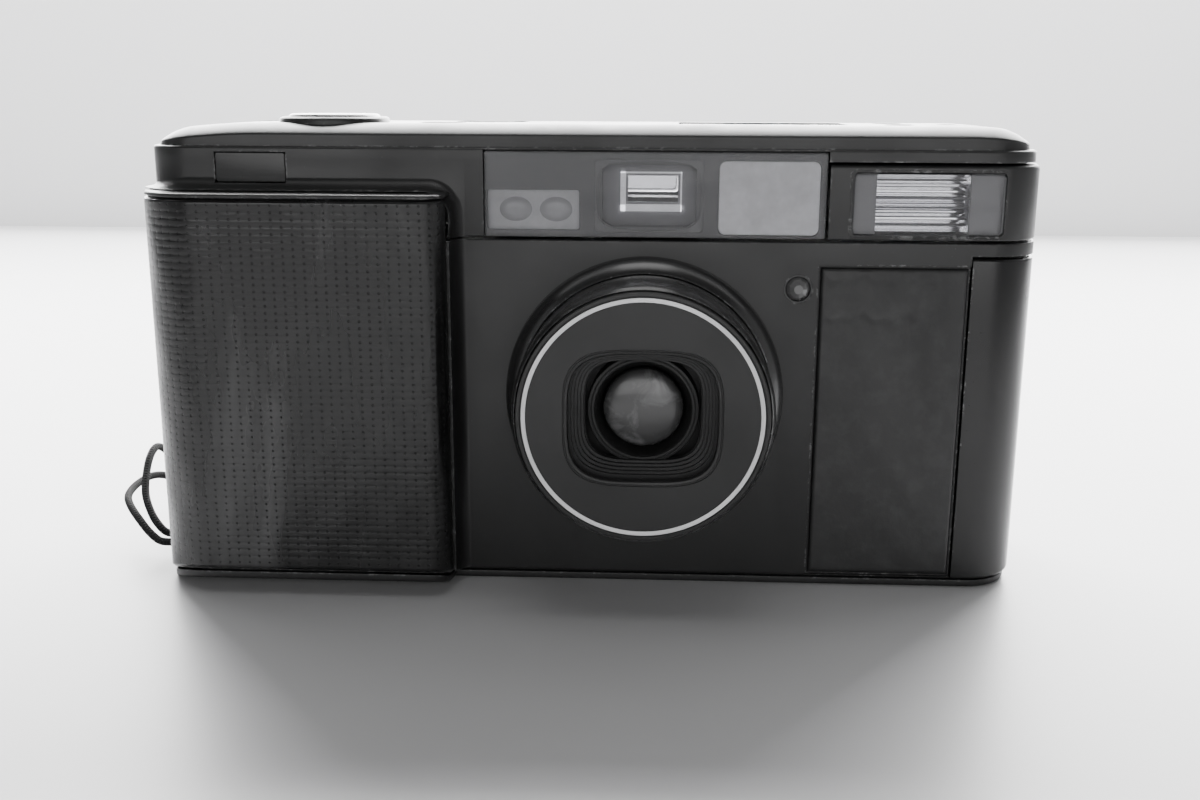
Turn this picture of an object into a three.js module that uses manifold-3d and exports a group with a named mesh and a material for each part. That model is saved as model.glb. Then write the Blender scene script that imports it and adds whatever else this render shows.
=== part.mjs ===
// A compact 35 mm autofocus film camera with a retracting 28 mm lens, a hinged back and a cord wrist strap.
// Millimetres. +X is the right-hand side seen from the front, +Y points to the back, +Z is up.
// Inside the body group, y = 0 is the middle of the thin body and z = 0 is the base that it stands on.
import * as THREE from "three";
import { mergeVertices } from "three/addons/utils/BufferGeometryUtils.js";
import Module from "manifold-3d";

const wasm = await Module();
wasm.setup();

// Driving dimensions
const width = 117;
const height = 61;
const bodyDepth = 26.5;
const gripDepth = 34;
const lensProud = 13.5; // how far the extended lens stands in front of the body
const eyepieceProud = 1.2; // how far the eyepiece rim stands behind the body

const right = width / 2;
const left = -right;
const back = bodyDepth / 2;
const front = -back;
const gripFront = back - gripDepth;
const lensFront = front - lensProud;
const eyepieceBack = back + eyepieceProud;
const bodyMiddle = -(lensFront + eyepieceBack) / 2; // centres the whole depth on the origin

const gap = 0.3; // between parts that meet
const wall = 1.2; // of the metal and plastic shells
const baseTop = 1.0; // upper face of the base plate
const beltZ = 46.7; // seam between the front cover and the top cover
const gripTop = 52.6;
const ridgeZ = 58.1; // where the top cover steps in
const doorBottom = 1.4;
const doorTop = 49.2;
const sideCoverX = 49.4;
const sideCoverTop = 44.6;
const bandLeft = left + 1.1;
const gripRight = -17.3;
const arcSteps = 5;

const lens = { x: 7.75, z: 26.35 };
const filmPlane = 8.6;
const cartridge = { x: -41.9, y: -4.2, r: 12.8, bottom: 1.9, top: 49.5 };
const takeUp = { x: 45.2, y: -0.6, r: 8.3, bottom: 3.0, top: 44.6 };
const cell = { x: -20.3, y: -2.4, r: 7.8, bottom: 2.0, length: 27 };
const hinge = { x: 56.2, y: 11.3, pin: 0.6, knuckle: 1.7 };
const tripod = { x: 7.75, y: 1.0, bore: 3.1 };

// Geometry helpers
function solidOf(geometry) {
  const bare = geometry.index ? geometry.toNonIndexed() : geometry.clone();
  bare.deleteAttribute("normal");
  bare.deleteAttribute("uv");
  const merged = mergeVertices(bare, 1e-4);
  const kept = [];
  const index = merged.index.array;
  for (let i = 0; i < index.length; i += 3) {
    const [a, b, c] = [index[i], index[i + 1], index[i + 2]];
    if (a !== b && b !== c && a !== c) kept.push(a, b, c);
  }
  const make = (triangles) =>
    new wasm.Manifold(
      new wasm.Mesh({
        numProp: 3,
        vertProperties: new Float32Array(merged.attributes.position.array),
        triVerts: new Uint32Array(triangles),
      }),
    );
  const solid = make(kept);
  return solid.volume() < 0 ? make(kept.reverse()) : solid;
}

function geometryOf(solid) {
  const mesh = solid.getMesh();
  const position = new Float32Array(mesh.numVert * 3);
  for (let i = 0; i < mesh.numVert; i++) {
    position.set(mesh.vertProperties.subarray(i * mesh.numProp, i * mesh.numProp + 3), i * 3);
  }
  const geometry = new THREE.BufferGeometry();
  geometry.setAttribute("position", new THREE.BufferAttribute(position, 3));
  geometry.setIndex(new THREE.BufferAttribute(new Uint32Array(mesh.triVerts), 1));
  geometry.computeVertexNormals();
  return geometry;
}

// A rectangle with its own radius at each corner: [low-low, high-low, high-high, low-high].
// A small corner takes fewer facets than a large one.
function roundedRect(x0, y0, x1, y1, radii) {
  const [a, b, c, d] = Array.isArray(radii) ? radii : [radii, radii, radii, radii];
  const corners = [
    [x1 - b, y0 + b, b, 3],
    [x1 - c, y1 - c, c, 0],
    [x0 + d, y1 - d, d, 1],
    [x0 + a, y0 + a, a, 2],
  ];
  const outline = corners.flatMap(([x, y, radius, quarter]) => {
    const steps = radius > 2 ? 5 : radius > 0.7 ? 3 : 1;
    return Array.from({ length: steps + 1 }, (_, i) => {
      const angle = ((quarter + i / steps) * Math.PI) / 2;
      return new THREE.Vector2(x + radius * Math.cos(angle), y + radius * Math.sin(angle));
    });
  });
  return new THREE.Shape(outline);
}

function extruded(shape, low, high, round) {
  const geometry = new THREE.ExtrudeGeometry(shape, {
    depth: high - low - 2 * round,
    bevelEnabled: round > 0,
    bevelThickness: round,
    bevelSize: round,
    bevelOffset: -round,
    bevelSegments: round > 1 ? 3 : 1,
    curveSegments: arcSteps,
  });
  geometry.translate(0, 0, low + round);
  return geometry;
}

const box = (x0, x1, y0, y1, z0, z1) =>
  solidOf(
    new THREE.BoxGeometry(x1 - x0, y1 - y0, z1 - z0).translate(
      (x0 + x1) / 2,
      (y0 + y1) / 2,
      (z0 + z1) / 2,
    ),
  );

// A plan shape (x, y) raised from z0 to z1.
const raised = (shape, z0, z1, round = 0) => solidOf(extruded(shape, z0, z1, round));

// A front-view shape (x, z) that runs from y0 back to y1.
const plate = (shape, y0, y1, round = 0) =>
  solidOf(extruded(shape, -y1, -y0, round).rotateX(Math.PI / 2));

const points = (profile) => profile.map(([r, h]) => new THREE.Vector2(r, h));

// A closed (radius, y) profile turned about the lens axis, or about another axis along Y.
const turnedY = (profile, segments = 32, x = lens.x, z = lens.z) =>
  solidOf(new THREE.LatheGeometry(points([...profile, profile[0]]), segments).translate(x, 0, z));

// A closed (radius, z) profile turned about an upright axis.
const turnedZ = (profile, x, y, segments = 16) =>
  solidOf(
    new THREE.LatheGeometry(points([...profile, profile[0]]), segments)
      .rotateX(Math.PI / 2)
      .translate(x, y, 0),
  );

const tubeProfile = (inner, outer, low, high) => [
  [inner, low],
  [outer, low],
  [outer, high],
  [inner, high],
];
const discProfile = (radius, low, high) => tubeProfile(0, radius, low, high);

// Outlines shared by the covers
const bodyPlan = (inset) =>
  roundedRect(bandLeft + inset, front + inset, right - inset, back - inset, [
    6 - inset,
    7 - inset,
    3 - inset / 2,
    3 - inset / 2,
  ]);

const gripPlan = (inset) =>
  roundedRect(left + inset, gripFront + inset, gripRight - inset, 2, [
    9 - inset,
    Math.max(3 - inset, 0.6),
    0.6,
    0.6,
  ]);

// The opening in the lens front: straight-ish sides that bulge a little, as four arcs would.
function lensOpening(halfWidth, halfHeight) {
  const cornerX = halfWidth * 0.84;
  const cornerZ = halfHeight * 0.82;
  const shape = new THREE.Shape();
  shape.moveTo(lens.x - cornerX, lens.z - cornerZ);
  shape.quadraticCurveTo(
    lens.x,
    lens.z - 2 * halfHeight + cornerZ,
    lens.x + cornerX,
    lens.z - cornerZ,
  );
  shape.quadraticCurveTo(
    lens.x + 2 * halfWidth - cornerX,
    lens.z,
    lens.x + cornerX,
    lens.z + cornerZ,
  );
  shape.quadraticCurveTo(
    lens.x,
    lens.z + 2 * halfHeight - cornerZ,
    lens.x - cornerX,
    lens.z + cornerZ,
  );
  shape.quadraticCurveTo(
    lens.x - 2 * halfWidth + cornerX,
    lens.z,
    lens.x - cornerX,
    lens.z - cornerZ,
  );
  return shape;
}

// Casings
function frontCover() {
  const outer = raised(bodyPlan(0), baseTop + gap, beltZ - gap / 2)
    .subtract(box(left, -30, -30, 30, 0, 70))
    .add(raised(gripPlan(1.5), baseTop + gap, gripTop - wall))
    .add(raised(gripPlan(0.15), gripTop - 1.6, gripTop))
    .add(box(bandLeft, -50, 2.3, 10.6, baseTop + gap, doorTop))
    .add(box(left + 1.5, -50, 1, 3, baseTop + gap, doorTop))
    .add(gripSkirt(baseTop + gap, beltZ - gap / 2));
  const inside = raised(bodyPlan(wall + 0.2), -1, beltZ + 20)
    .add(raised(gripPlan(1.5 + wall), -1, gripTop - wall))
    .add(box(left + 1.5 + wall, -20, 0, 20, -1, 70));
  const besideSideCover = box(sideCoverX - gap / 2, 70, -30, 30, -1, sideCoverTop + gap);
  const rear = box(-80, 80, 10.6, 30, -1, 70).add(box(40, 80, -3, 30, sideCoverTop, 70));
  return outer
    .subtract(inside)
    .subtract(besideSideCover)
    .subtract(rear)
    .subtract(box(-80, 80, front + 0.05, 30, gripTop - 1.5, 70))
    .subtract(turnedY(discProfile(17.3, front - 5, front + 5), 40))
    .subtract(turnedY(discProfile(1.8, front - 1, front + 5), 12, 27.4, 40.5))
    .subtract(box(29.9, sideCoverX - 0.15, front - 1, front + 0.6, 1.6, 43.6))
    .subtract(lugLeg(lug.low, lug.wire + gap, -5))
    .subtract(lugLeg(lug.high, lug.wire + gap, -5));
}

// The slope that joins the grip to the thin body.
function gripSkirt(z0, z1) {
  const slope = new THREE.Shape();
  slope.moveTo(-24, front + 1);
  slope.lineTo(-24, gripFront + 3.9);
  slope.lineTo(gripRight, gripFront + 3.9);
  slope.lineTo(gripRight + 1.7, front + 1);
  return raised(slope, z0, z1);
}

function gripRubber() {
  return raised(gripPlan(0), baseTop + 0.4, gripTop - 1.9, 0.3)
    .subtract(raised(gripPlan(wall), -1, 60))
    .subtract(box(-45, 0, gripFront + 3.6, 30, -1, 60))
    .subtract(box(left - 1, 0, 1.4, 30, -1, 60))
    .subtract(box(left - 1, left + 4, lug.y - 2.6, lug.y + 2.6, 1, lug.high + 1.6));
}

const frontSkin = () =>
  plate(roundedRect(30.2, 1.9, sideCoverX - 0.45, 43.3, 0.3), front - 0.1, front + 0.45);

function sideCover() {
  const knuckles = turnedZ(discProfile(hinge.knuckle, 3, 7.6), hinge.x, hinge.y)
    .add(turnedZ(discProfile(hinge.knuckle, 38.4, 43), hinge.x, hinge.y))
    .add(box(hinge.x - 1.2, right - 0.3, 8, hinge.y, 3, 7.6))
    .add(box(hinge.x - 1.2, right - 0.3, 8, hinge.y, 38.4, 43));
  return raised(bodyPlan(0), baseTop + gap, sideCoverTop)
    .subtract(raised(bodyPlan(wall + 0.2), -1, 70))
    .subtract(box(-80, sideCoverX, -30, 30, -1, 70))
    .subtract(box(40, 80, 8.6, 30, -1, 70))
    .add(knuckles)
    .subtract(turnedZ(discProfile(hinge.pin + 0.1, -1, 60), hinge.x, hinge.y));
}

function topCover() {
  const outer = raised(bodyPlan(0), beltZ + gap / 2, ridgeZ).add(
    raised(bodyPlan(0.9), ridgeZ - 8, height, 2.2),
  );
  const controls = turnedZ(discProfile(6.4, 55, 70), -34.5, -2.6, 24)
    .add(turnedZ(discProfile(3.2, 55, 70), -19.5, -4.5))
    .add(turnedZ(discProfile(5, 55, 70), -47.8, 3.4, 20))
    .add(turnedZ(discProfile(5.2, 55, 70), -14, 4.6, 20))
    .add(turnedZ(discProfile(2.2, 55, 70), 40.6, -4.4, 12))
    .add(turnedZ(discProfile(2.2, 55, 70), 40.6, 4.4, 12))
    .add(raised(roundedRect(11.8, -5.6, 34.2, 5.6, 1), 55, 70))
    .add(raised(roundedRect(46.3, -1.5, 54.7, 1.5, 1.4), 55, 70));
  return outer
    .subtract(raised(bodyPlan(wall + 0.1), 40, ridgeZ))
    .subtract(raised(bodyPlan(wall + 1), ridgeZ - 1, height - 1.3))
    .subtract(box(-80, gripRight + 0.15, -30, 2.4, 40, gripTop + 0.15))
    .subtract(box(-80, -50, 2, 30, 40, doorTop + gap))
    .subtract(box(-80, 80, 8.6, 30, 40, doorTop + gap))
    .subtract(box(-13.1, 30.7, -30, front + 3, beltZ + 0.05, 57.9))
    .subtract(box(30.6, 80, -30, -2.8, 40, 56.6))
    .subtract(box(-47.7, -38.5, -30, front + 3, 53.5, 57.4))
    .subtract(plate(roundedRect(2.7, 50, 13.1, 56, 1), 5, 30))
    .subtract(controls);
}

function basePlate() {
  const battery = batteryDoorPlan(0.35);
  return raised(bodyPlan(0.5), 0, baseTop, 0.3)
    .add(raised(gripPlan(0.7), 0, baseTop, 0.3))
    .subtract(raised(battery, -1, 3))
    .subtract(turnedZ(discProfile(4.65, -1, 3), tripod.x, tripod.y))
    .subtract(turnedZ(discProfile(1.35, -1, 3), ...screws[0], 12))
    .subtract(turnedZ(discProfile(1.35, -1, 3), ...screws[1], 12));
}

const screws = [
  [-50.5, 6.5],
  [51, -6.5],
];

const baseScrew = ([x, y]) =>
  turnedZ(
    [
      [0, 0.25],
      [1.1, 0.25],
      [1.1, 0.8],
      [0.6, 1.0],
      [0.6, 1.9],
      [0, 1.9],
    ],
    x,
    y,
    12,
  ).subtract(box(x - 0.8, x + 0.8, y - 0.12, y + 0.12, 0, 0.5));

function chassis() {
  const tower = raised(roundedRect(left + 3, gripFront + 3, -28.6, filmPlane, [6, 1, 0.5, 0.5]), 1.3, 50.9);
  const block = raised(roundedRect(-28.8, front + 1.9, 54.4, filmPlane, [0.5, 5, 0.5, 0.5]), 1.3, 46);
  const rails = box(lens.x - 19.5, lens.x + 19.5, filmPlane - 1, filmPlane + 0.3, 8.4, 9.9).add(
    box(lens.x - 19.5, lens.x + 19.5, filmPlane - 1, filmPlane + 0.3, 42.8, 44.3),
  );
  const chamber = (spot, reach) =>
    turnedZ(discProfile(spot.r, spot.bottom, spot.top), spot.x, spot.y, 24).add(
      box(spot.x - spot.r, spot.x + spot.r, spot.y, reach, spot.bottom, spot.top),
    );
  return tower
    .add(block)
    .add(rails)
    .subtract(chamber(cartridge, 12))
    .subtract(chamber(takeUp, 12))
    .subtract(turnedZ(discProfile(cell.r + 0.35, 0, cell.bottom + cell.length + 1), cell.x, cell.y, 20))
    .subtract(turnedY(discProfile(17.2, -30, -0.5), 32))
    .subtract(turnedY(discProfile(14.3, -2, 3), 32))
    .subtract(box(lens.x - 18, lens.x + 18, -2, 12, lens.z - 12, lens.z + 12))
    .subtract(turnedZ(discProfile(1.6, 49, 52), cartridge.x, cartridge.y, 12))
    .subtract(turnedZ(discProfile(1.6, 0, 50), takeUp.x, takeUp.y, 12))
    .subtract(turnedZ(discProfile(4.6, 0, 9), tripod.x, tripod.y))
    .subtract(turnedZ(discProfile(0.9, 0, 2.2), ...screws[0], 12))
    .subtract(turnedZ(discProfile(0.9, 0, 2.2), ...screws[1], 12));
}

// Windows and their optics
const windowBar = () => plate(roundedRect(-12.95, 46.95, 30.5, 57.7, 0.2), front - 0.1, front + 1.2);

function afModule() {
  const sensor = (x) => turnedY(discProfile(2.1, -10.9, -9), 14, x, 50.4);
  return box(-12.4, -1.1, -9.8, -4, 47.3, 53.4).add(sensor(-9.6)).add(sensor(-3.9));
}

const finder = { x0: 1.2, x1: 14.9, z0: 47.3, z1: 56.8 };

function finderTunnel() {
  const { x0, x1, z0, z1 } = finder;
  return box(x0, x1, -11.6, 7.8, z0, z1)
    .add(box(x0 + 1, x1 - 1, 7, 11.4, doorTop + 0.6, z1))
    .subtract(box(x0 + 0.8, x1 - 0.8, -12, 7, z0 + 0.8, z1 - 0.8))
    .subtract(box(x0 + 1.8, x1 - 1.8, 6, 12, doorTop + 1.3, z1 - 0.8));
}

const finderObjective = () =>
  plate(roundedRect(finder.x0 + 1, finder.z0 + 1, finder.x1 - 1, finder.z1 - 1, 0.4), -11.2, -9.2, 0.3);

const finderEyepiece = () => plate(roundedRect(3.9, 51.2, 11.9, 54.8, 0.6), 11.8, 13.2, 0.3);

function eyepieceRim() {
  return plate(roundedRect(2.9, 50.2, 12.9, 55.8, 1), back - 1.3, eyepieceBack, 0.4).subtract(
    plate(roundedRect(3.6, 50.9, 12.2, 55.1, 0.6), 5, 20),
  );
}

const frameIlluminator = () => plate(roundedRect(16.95, 47.3, 29.75, 56.6, 0.8), front + 1.5, front + 2.5);

const lightMeterWindow = () =>
  plate(roundedRect(-47.4, 53.75, -38.8, 57.15, 0.3), front - 0.02, front + 1);

const timerLamp = () =>
  turnedY(
    [
      [0, front - 0.5],
      [0.8, front - 0.35],
      [1.35, front + 0.1],
      [1.5, front + 0.6],
      [1.5, front + 1.5],
      [0, front + 1.5],
    ],
    16,
    27.4,
    40.5,
  );

// Flash
const flash = { x0: 34, x1: 52.8, z0: 47.6, z1: 55.2 };

function flashCover() {
  return raised(bodyPlan(0), beltZ + gap / 2, 56.3)
    .subtract(raised(bodyPlan(wall), 40, 70))
    .subtract(box(-80, 30.9, -30, 30, 40, 70))
    .subtract(box(-80, 80, -3.1, 30, 40, 70))
    .subtract(box(flash.x0 - 0.15, flash.x1 + 0.15, -30, front + 3, flash.z0 - 0.15, flash.z1 + 0.15));
}

const flashWindow = () =>
  plate(roundedRect(flash.x0, flash.z0, flash.x1, flash.z1, 0.5), front + 0.25, front + 1.25);

function flashReflector() {
  const trough = turnedY(discProfile(1, 0, 1), 16, 0, 0).rotate([0, 0, 90]).scale([14, 3.9, 3.5]);
  return box(35.2, 50.6, front + 1.6, -6.4, 47.6, 55.2).subtract(
    trough.translate([49.9, front + 1.4, 51.4]),
  );
}

const flashTube = () =>
  turnedY(discProfile(0.9, -7, 7), 12, 0, 0).rotate([0, 0, 90]).translate([42.9, front + 3.1, 51.4]);

const flashCapacitor = () =>
  turnedY(discProfile(4.2, -11, 11), 16, 0, 0).rotate([0, 0, 90]).translate([42, -0.6, 52.3]);

// Lens
function lensCollar() {
  return turnedY(
    [
      [16.8, front - 3.7],
      [17.2, front - 3.7],
      [17.85, front - 2.2],
      [18.05, front - 0.1],
      [17.05, front - 0.1],
      [17.05, front + 1.7],
      [16.8, front + 1.7],
    ],
    40,
  );
}

function lensBarrel() {
  return turnedY(
    [
      [15.9, lensFront + 0.5],
      [16.15, lensFront + 0.5],
      [16.5, lensFront + 1.2],
      [16.5, -9.8],
      [15.2, -9.8],
      [15.2, -23.7],
      [15.9, -23.9],
    ],
    40,
  );
}

const frontPlate = () =>
  turnedY(discProfile(15.7, lensFront, lensFront + 1), 40).subtract(
    plate(lensOpening(9.65, 8.4), -40, 0),
  );

// A funnel of fine steps between the opening and the front element.
function lensBaffle() {
  const steps = 4;
  let funnel = turnedY(discProfile(15, -24.4, -21.3), 32);
  for (let i = 0; i < steps; i++) {
    const shrink = i * 0.5;
    funnel = funnel.subtract(plate(lensOpening(8.8 - shrink, 7.8 - shrink), -26, -23.8 + i * 0.55));
  }
  return funnel.subtract(turnedY(discProfile(7.2, -26, -20), 24));
}

// Each barrier blade is a segment of the barrel's own circle, parked clear of the opening.
const blade = { edge: 8.6, arc: 15.65, half: 10.4 };

function barrierBlade(side, layer) {
  const shape = new THREE.Shape();
  const topAngle = Math.acos(blade.half / blade.arc);
  shape.moveTo(-blade.half, blade.edge);
  shape.lineTo(blade.half, blade.edge);
  shape.lineTo(blade.half, blade.arc * Math.sin(topAngle));
  shape.absarc(0, 0, blade.arc, topAngle, Math.PI - topAngle, false);
  return plate(shape, layer, layer + 0.35)
    .scale([1, 1, side])
    .translate([lens.x, 0, lens.z]);
}

const mainLayer = lensFront + 1.25;
const subLayer = lensFront + 1.75;

function lensCell() {
  return turnedY(
    [
      [5.3, -21.9],
      [6.9, -21.9],
      [7.0, -18.9],
      [13.8, -18.9],
      [13.8, -8.6],
      [6.6, -8.6],
      [6.6, -12],
      [5.0, -12],
      [5.0, leafLayer + 1.2],
      [12.5, leafLayer + 1.2],
      [12.5, leafLayer - 0.3],
      [5.0, leafLayer - 0.3],
      [5.0, -18],
      [5.3, -18],
    ],
    32,
  );
}

const frontElement = () =>
  turnedY(
    [
      [0, -21.9],
      [2.2, -21.7],
      [4.0, -21.1],
      [5.1, -20.3],
      [5.1, -18.4],
      [0, -17.6],
    ],
    28,
  );

const rearElement = () =>
  turnedY(
    [
      [0, -11.4],
      [6.4, -11.7],
      [6.4, -9.6],
      [3.6, -9.1],
      [0, -8.9],
    ],
    24,
  );

// Two leaves that overlap on the lens axis, in a pocket of the cell; each opens about a pin at its foot.
const leafLayer = -15.4;

function shutterLeaf(side) {
  const leaf = new THREE.Shape();
  leaf.moveTo(0.6, -3.9);
  leaf.lineTo(0.6, 3.9);
  leaf.lineTo(-2.0, 3.6);
  leaf.lineTo(-4.0, 1.6);
  leaf.lineTo(-4.4, -1.0);
  leaf.lineTo(-5.9, -7.2);
  leaf.absarc(-5, -7.5, 0.95, 2.8, 6.1, false);
  leaf.lineTo(-2.2, -4.6);
  const layer = side < 0 ? leafLayer : leafLayer + 0.5;
  return plate(leaf, layer, layer + 0.25)
    .scale([-side, 1, 1])
    .translate([lens.x, 0, lens.z]);
}

// Controls on the top cover
function shutterButton() {
  return turnedZ(
    [
      [0, height + 0.75],
      [3.2, height + 0.85],
      [5.6, height + 1.1],
      [6.1, height + 0.6],
      [5.9, height - 0.5],
      [2.0, height - 0.9],
      [2.0, 58.9],
      [0, 58.9],
    ],
    -34.5,
    -2.6,
    24,
  );
}

const roundButton = (x, y, radius, proud) =>
  turnedZ(
    [
      [0, height + proud],
      [radius - 0.3, height + proud],
      [radius, height + proud - 0.3],
      [radius, 59.4],
      [0, 59.4],
    ],
    x,
    y,
    16,
  );

function knurledDial(x, y, radius, notches, top) {
  let dial = turnedZ(discProfile(radius, 59.0, top), x, y, notches * 2);
  for (let i = 0; i < notches; i++) {
    const angle = (i * 2 * Math.PI) / notches;
    const notch = turnedZ(discProfile(0.28, 58, 62), radius * Math.cos(angle), radius * Math.sin(angle), 4);
    dial = dial.subtract(notch.translate([x, y, 0]));
  }
  return dial;
}

function flashSwitch() {
  return raised(roundedRect(49, -1.2, 52, 1.2, 0.6), 59.3, height - 0.45, 0.2).add(
    box(49.6, 51.4, -0.6, 0.6, 58.6, 60),
  );
}

const lcdPanel = () => raised(roundedRect(12.1, -5.3, 33.9, 5.3, 0.8), 59.3, height - 0.15, 0.2);

function circuitBoard() {
  return box(-46, 52, -9.8, 9.2, 57.25, 57.9).subtract(box(-12.5, 31, -12, -9.2, 57, 58.5));
}

// Film back
const doorLeft = left + 1.5;

function backDoor() {
  const plateTop = doorTop;
  const panel = raised(
    roundedRect(doorLeft, back - 2.1, hinge.x - 1.0, back, [0.5, 0.5, 1.2, 0.8]),
    doorBottom,
    plateTop,
    0.3,
  );
  const knuckle = turnedZ(discProfile(hinge.knuckle, 8, 38), hinge.x, hinge.y);
  const arm = box(hinge.x - 3, hinge.x, back - 2.05, back - 0.3, 8, 38);
  const thumbRest = plate(roundedRect(-52, 20, -38, 44, 2.5), back - 0.1, back + 0.55, 0.3);
  return panel
    .add(arm)
    .add(knuckle)
    .add(thumbRest)
    .subtract(turnedZ(discProfile(hinge.pin + 0.15, 0, 60), hinge.x, hinge.y))
    .subtract(turnedZ(discProfile(hinge.knuckle + gap, 2.7, 7.9), hinge.x, hinge.y))
    .subtract(turnedZ(discProfile(hinge.knuckle + gap, 38.1, 43.3), hinge.x, hinge.y))
    .subtract(plate(roundedRect(-33, 14, -27, 36, 1), 5, 20));
}

const filmWindow = () => plate(roundedRect(-32.7, 14.3, -27.3, 35.7, 0.8), back - 1.6, back - 0.2);

const pressurePlate = () =>
  plate(roundedRect(lens.x - 24, lens.z - 16.2, lens.x + 24, lens.z + 16.2, 1.5), filmPlane + 0.45, filmPlane + 1.35);

const hingePin = () => turnedZ(discProfile(hinge.pin, 2.2, 44), hinge.x, hinge.y, 12);

function doorLatch() {
  const x = bandLeft;
  return box(x - 0.95, x - 0.15, 4.6, 8.6, 25, 34)
    .add(box(x - 1.05, x - 0.5, 4.6, 8.6, 27, 27.8))
    .add(box(x - 1.05, x - 0.5, 4.6, 8.6, 29.1, 29.9))
    .add(box(x - 1.05, x - 0.5, 4.6, 8.6, 31.2, 32));
}

// Film transport
function takeUpSpool() {
  const { x, y, bottom, top } = takeUp;
  return turnedZ(
    [
      [0, 1.6],
      [1.4, 1.6],
      [1.4, bottom + 0.4],
      [7.6, bottom + 0.4],
      [7.6, bottom + 1.4],
      [6.3, bottom + 1.4],
      [6.3, top - 1.4],
      [7.6, top - 1.4],
      [7.6, top - 0.4],
      [1.4, top - 0.4],
      [1.4, 46.4],
      [4.6, 46.4],
      [4.6, 47.1],
      [0, 47.1],
    ],
    x,
    y,
    20,
  ).subtract(box(x - 0.8, x + 0.8, y + 4.5, y + 8, bottom + 6, top - 6));
}

function rewindFork() {
  const { x, y } = cartridge;
  return turnedZ(
    [
      [0, 45.2],
      [2.6, 45.2],
      [3.0, 46],
      [3.0, 49.2],
      [1.3, 49.2],
      [1.3, 51.2],
      [4.2, 51.2],
      [4.2, 52.0],
      [0, 52.0],
    ],
    x,
    y,
    16,
  )
    .subtract(box(x - 1, x + 1, y - 4, y + 4, 44, 47.5));
}

// Power and base fittings
const battery = () =>
  turnedZ(
    [
      [0, cell.bottom],
      [cell.r, cell.bottom],
      [cell.r, cell.bottom + cell.length - 1],
      [3.2, cell.bottom + cell.length - 1],
      [3.2, cell.bottom + cell.length],
      [0, cell.bottom + cell.length],
    ],
    cell.x,
    cell.y,
    20,
  );

const batteryDoorPlan = (grow) =>
  roundedRect(cell.x - 8.6 - grow, cell.y - 8.4 - grow, cell.x + 8.6 + grow, cell.y + 8.4 + grow, 0.6);

const batteryDoor = () =>
  raised(batteryDoorPlan(0), 0.1, baseTop).subtract(
    box(cell.x + 5, cell.x + 6, cell.y - 3, cell.y + 3, 0, 0.5),
  );

function tripodBush() {
  return turnedZ(
    [
      [tripod.bore, 0.1],
      [4.4, 0.1],
      [4.4, 6.5],
      [tripod.bore, 6.5],
    ],
    tripod.x,
    tripod.y,
    20,
  );
}

// A wire staple standing in a notch of the grip's side; the strap loops through it.
const lug = { x: left + 0.9, y: -6.8, wire: 0.55, low: 1.95, high: 4.9 };

const lugLeg = (z, radius, start = 0) =>
  turnedY(discProfile(radius, start, 1.75), 10, 0, 0)
    .rotate([0, 0, -90])
    .translate([lug.x, lug.y, z]);

const strapLug = () =>
  turnedZ(discProfile(lug.wire, lug.low - lug.wire, lug.high + lug.wire), lug.x, lug.y, 10)
    .add(lugLeg(lug.low, lug.wire))
    .add(lugLeg(lug.high, lug.wire));

// Wrist strap: two thin strands from the lug to a ferrule, and a cord folded into a tied hank.
// The hank's solid holds four layers of the cord, its folds, and the last run beside the left column.
const strand = { diameter: 1.1, sides: 8, steps: 32 };
const wristCord = { diameter: 2, layers: 4, bend: 5.25 };
const ferrule = { x: -62.6, y: 20.9, half: 3.2, length: 5.4, height: 3.3 };
const hank = {
  x0: ferrule.x - wristCord.bend - 1.55 * wristCord.diameter,
  x1: ferrule.x + wristCord.bend + 0.55 * wristCord.diameter,
  y0: ferrule.y + ferrule.length + gap,
  length: 17.8 * wristCord.diameter,
};

const strandRoutes = {
  strap_strand_upper: [
    [-58.8, -6.1, 3.4],
    [-60.6, -6.0, 3.1],
    [-62.4, -5.1, 4.2],
    [-64.0, -3.5, 5.7],
    [-65.3, -1.5, 7.5],
    [-66.0, 1.0, 9.7],
    [-66.3, 3.5, 11.6],
    [-66.3, 6.2, 12.4],
    [-66.0, 8.8, 11.2],
    [-65.5, 11.2, 8.6],
    [-64.7, 13.6, 5.4],
    [-63.7, 16.0, 3.0],
    [-62.5, 18.4, 1.9],
    [-61.8, 20.6, 1.7],
  ],
  strap_strand_outer: [
    [-58.8, -7.5, 2.3],
    [-61.1, -7.4, 2.3],
    [-63.0, -6.6, 3.3],
    [-64.8, -5.3, 4.6],
    [-66.9, -3.1, 5.8],
    [-68.4, -0.5, 6.5],
    [-68.9, 2.3, 6.9],
    [-68.7, 5.2, 7.2],
    [-68.2, 8.0, 7.2],
    [-67.4, 10.8, 6.5],
    [-66.4, 13.4, 4.9],
    [-65.2, 15.8, 3.0],
    [-64.0, 18.2, 1.9],
    [-63.4, 20.6, 1.7],
  ],
};

function strandTube(route) {
  const curve = new THREE.CatmullRomCurve3(route.map((p) => new THREE.Vector3(...p)));
  const section = new THREE.Shape();
  section.absarc(0, 0, strand.diameter / 2, 0, 2 * Math.PI, false);
  return solidOf(
    new THREE.ExtrudeGeometry(section, {
      steps: strand.steps,
      curveSegments: strand.sides / 2,
      extrudePath: curve,
      bevelEnabled: false,
    }),
  );
}

const strapFerrule = () =>
  plate(
    roundedRect(ferrule.x - ferrule.half, 0.02, ferrule.x + ferrule.half, ferrule.height, 1.4),
    ferrule.y,
    ferrule.y + ferrule.length,
    0.3,
  );

function strapHank() {
  const { x0, x1, y0, length } = hank;
  const outline = roundedRect(x0, y0, x1, y0 + length, (x1 - x0) / 2 - 0.01);
  return raised(outline, 0.05, wristCord.layers * wristCord.diameter + 0.7);
}

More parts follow.
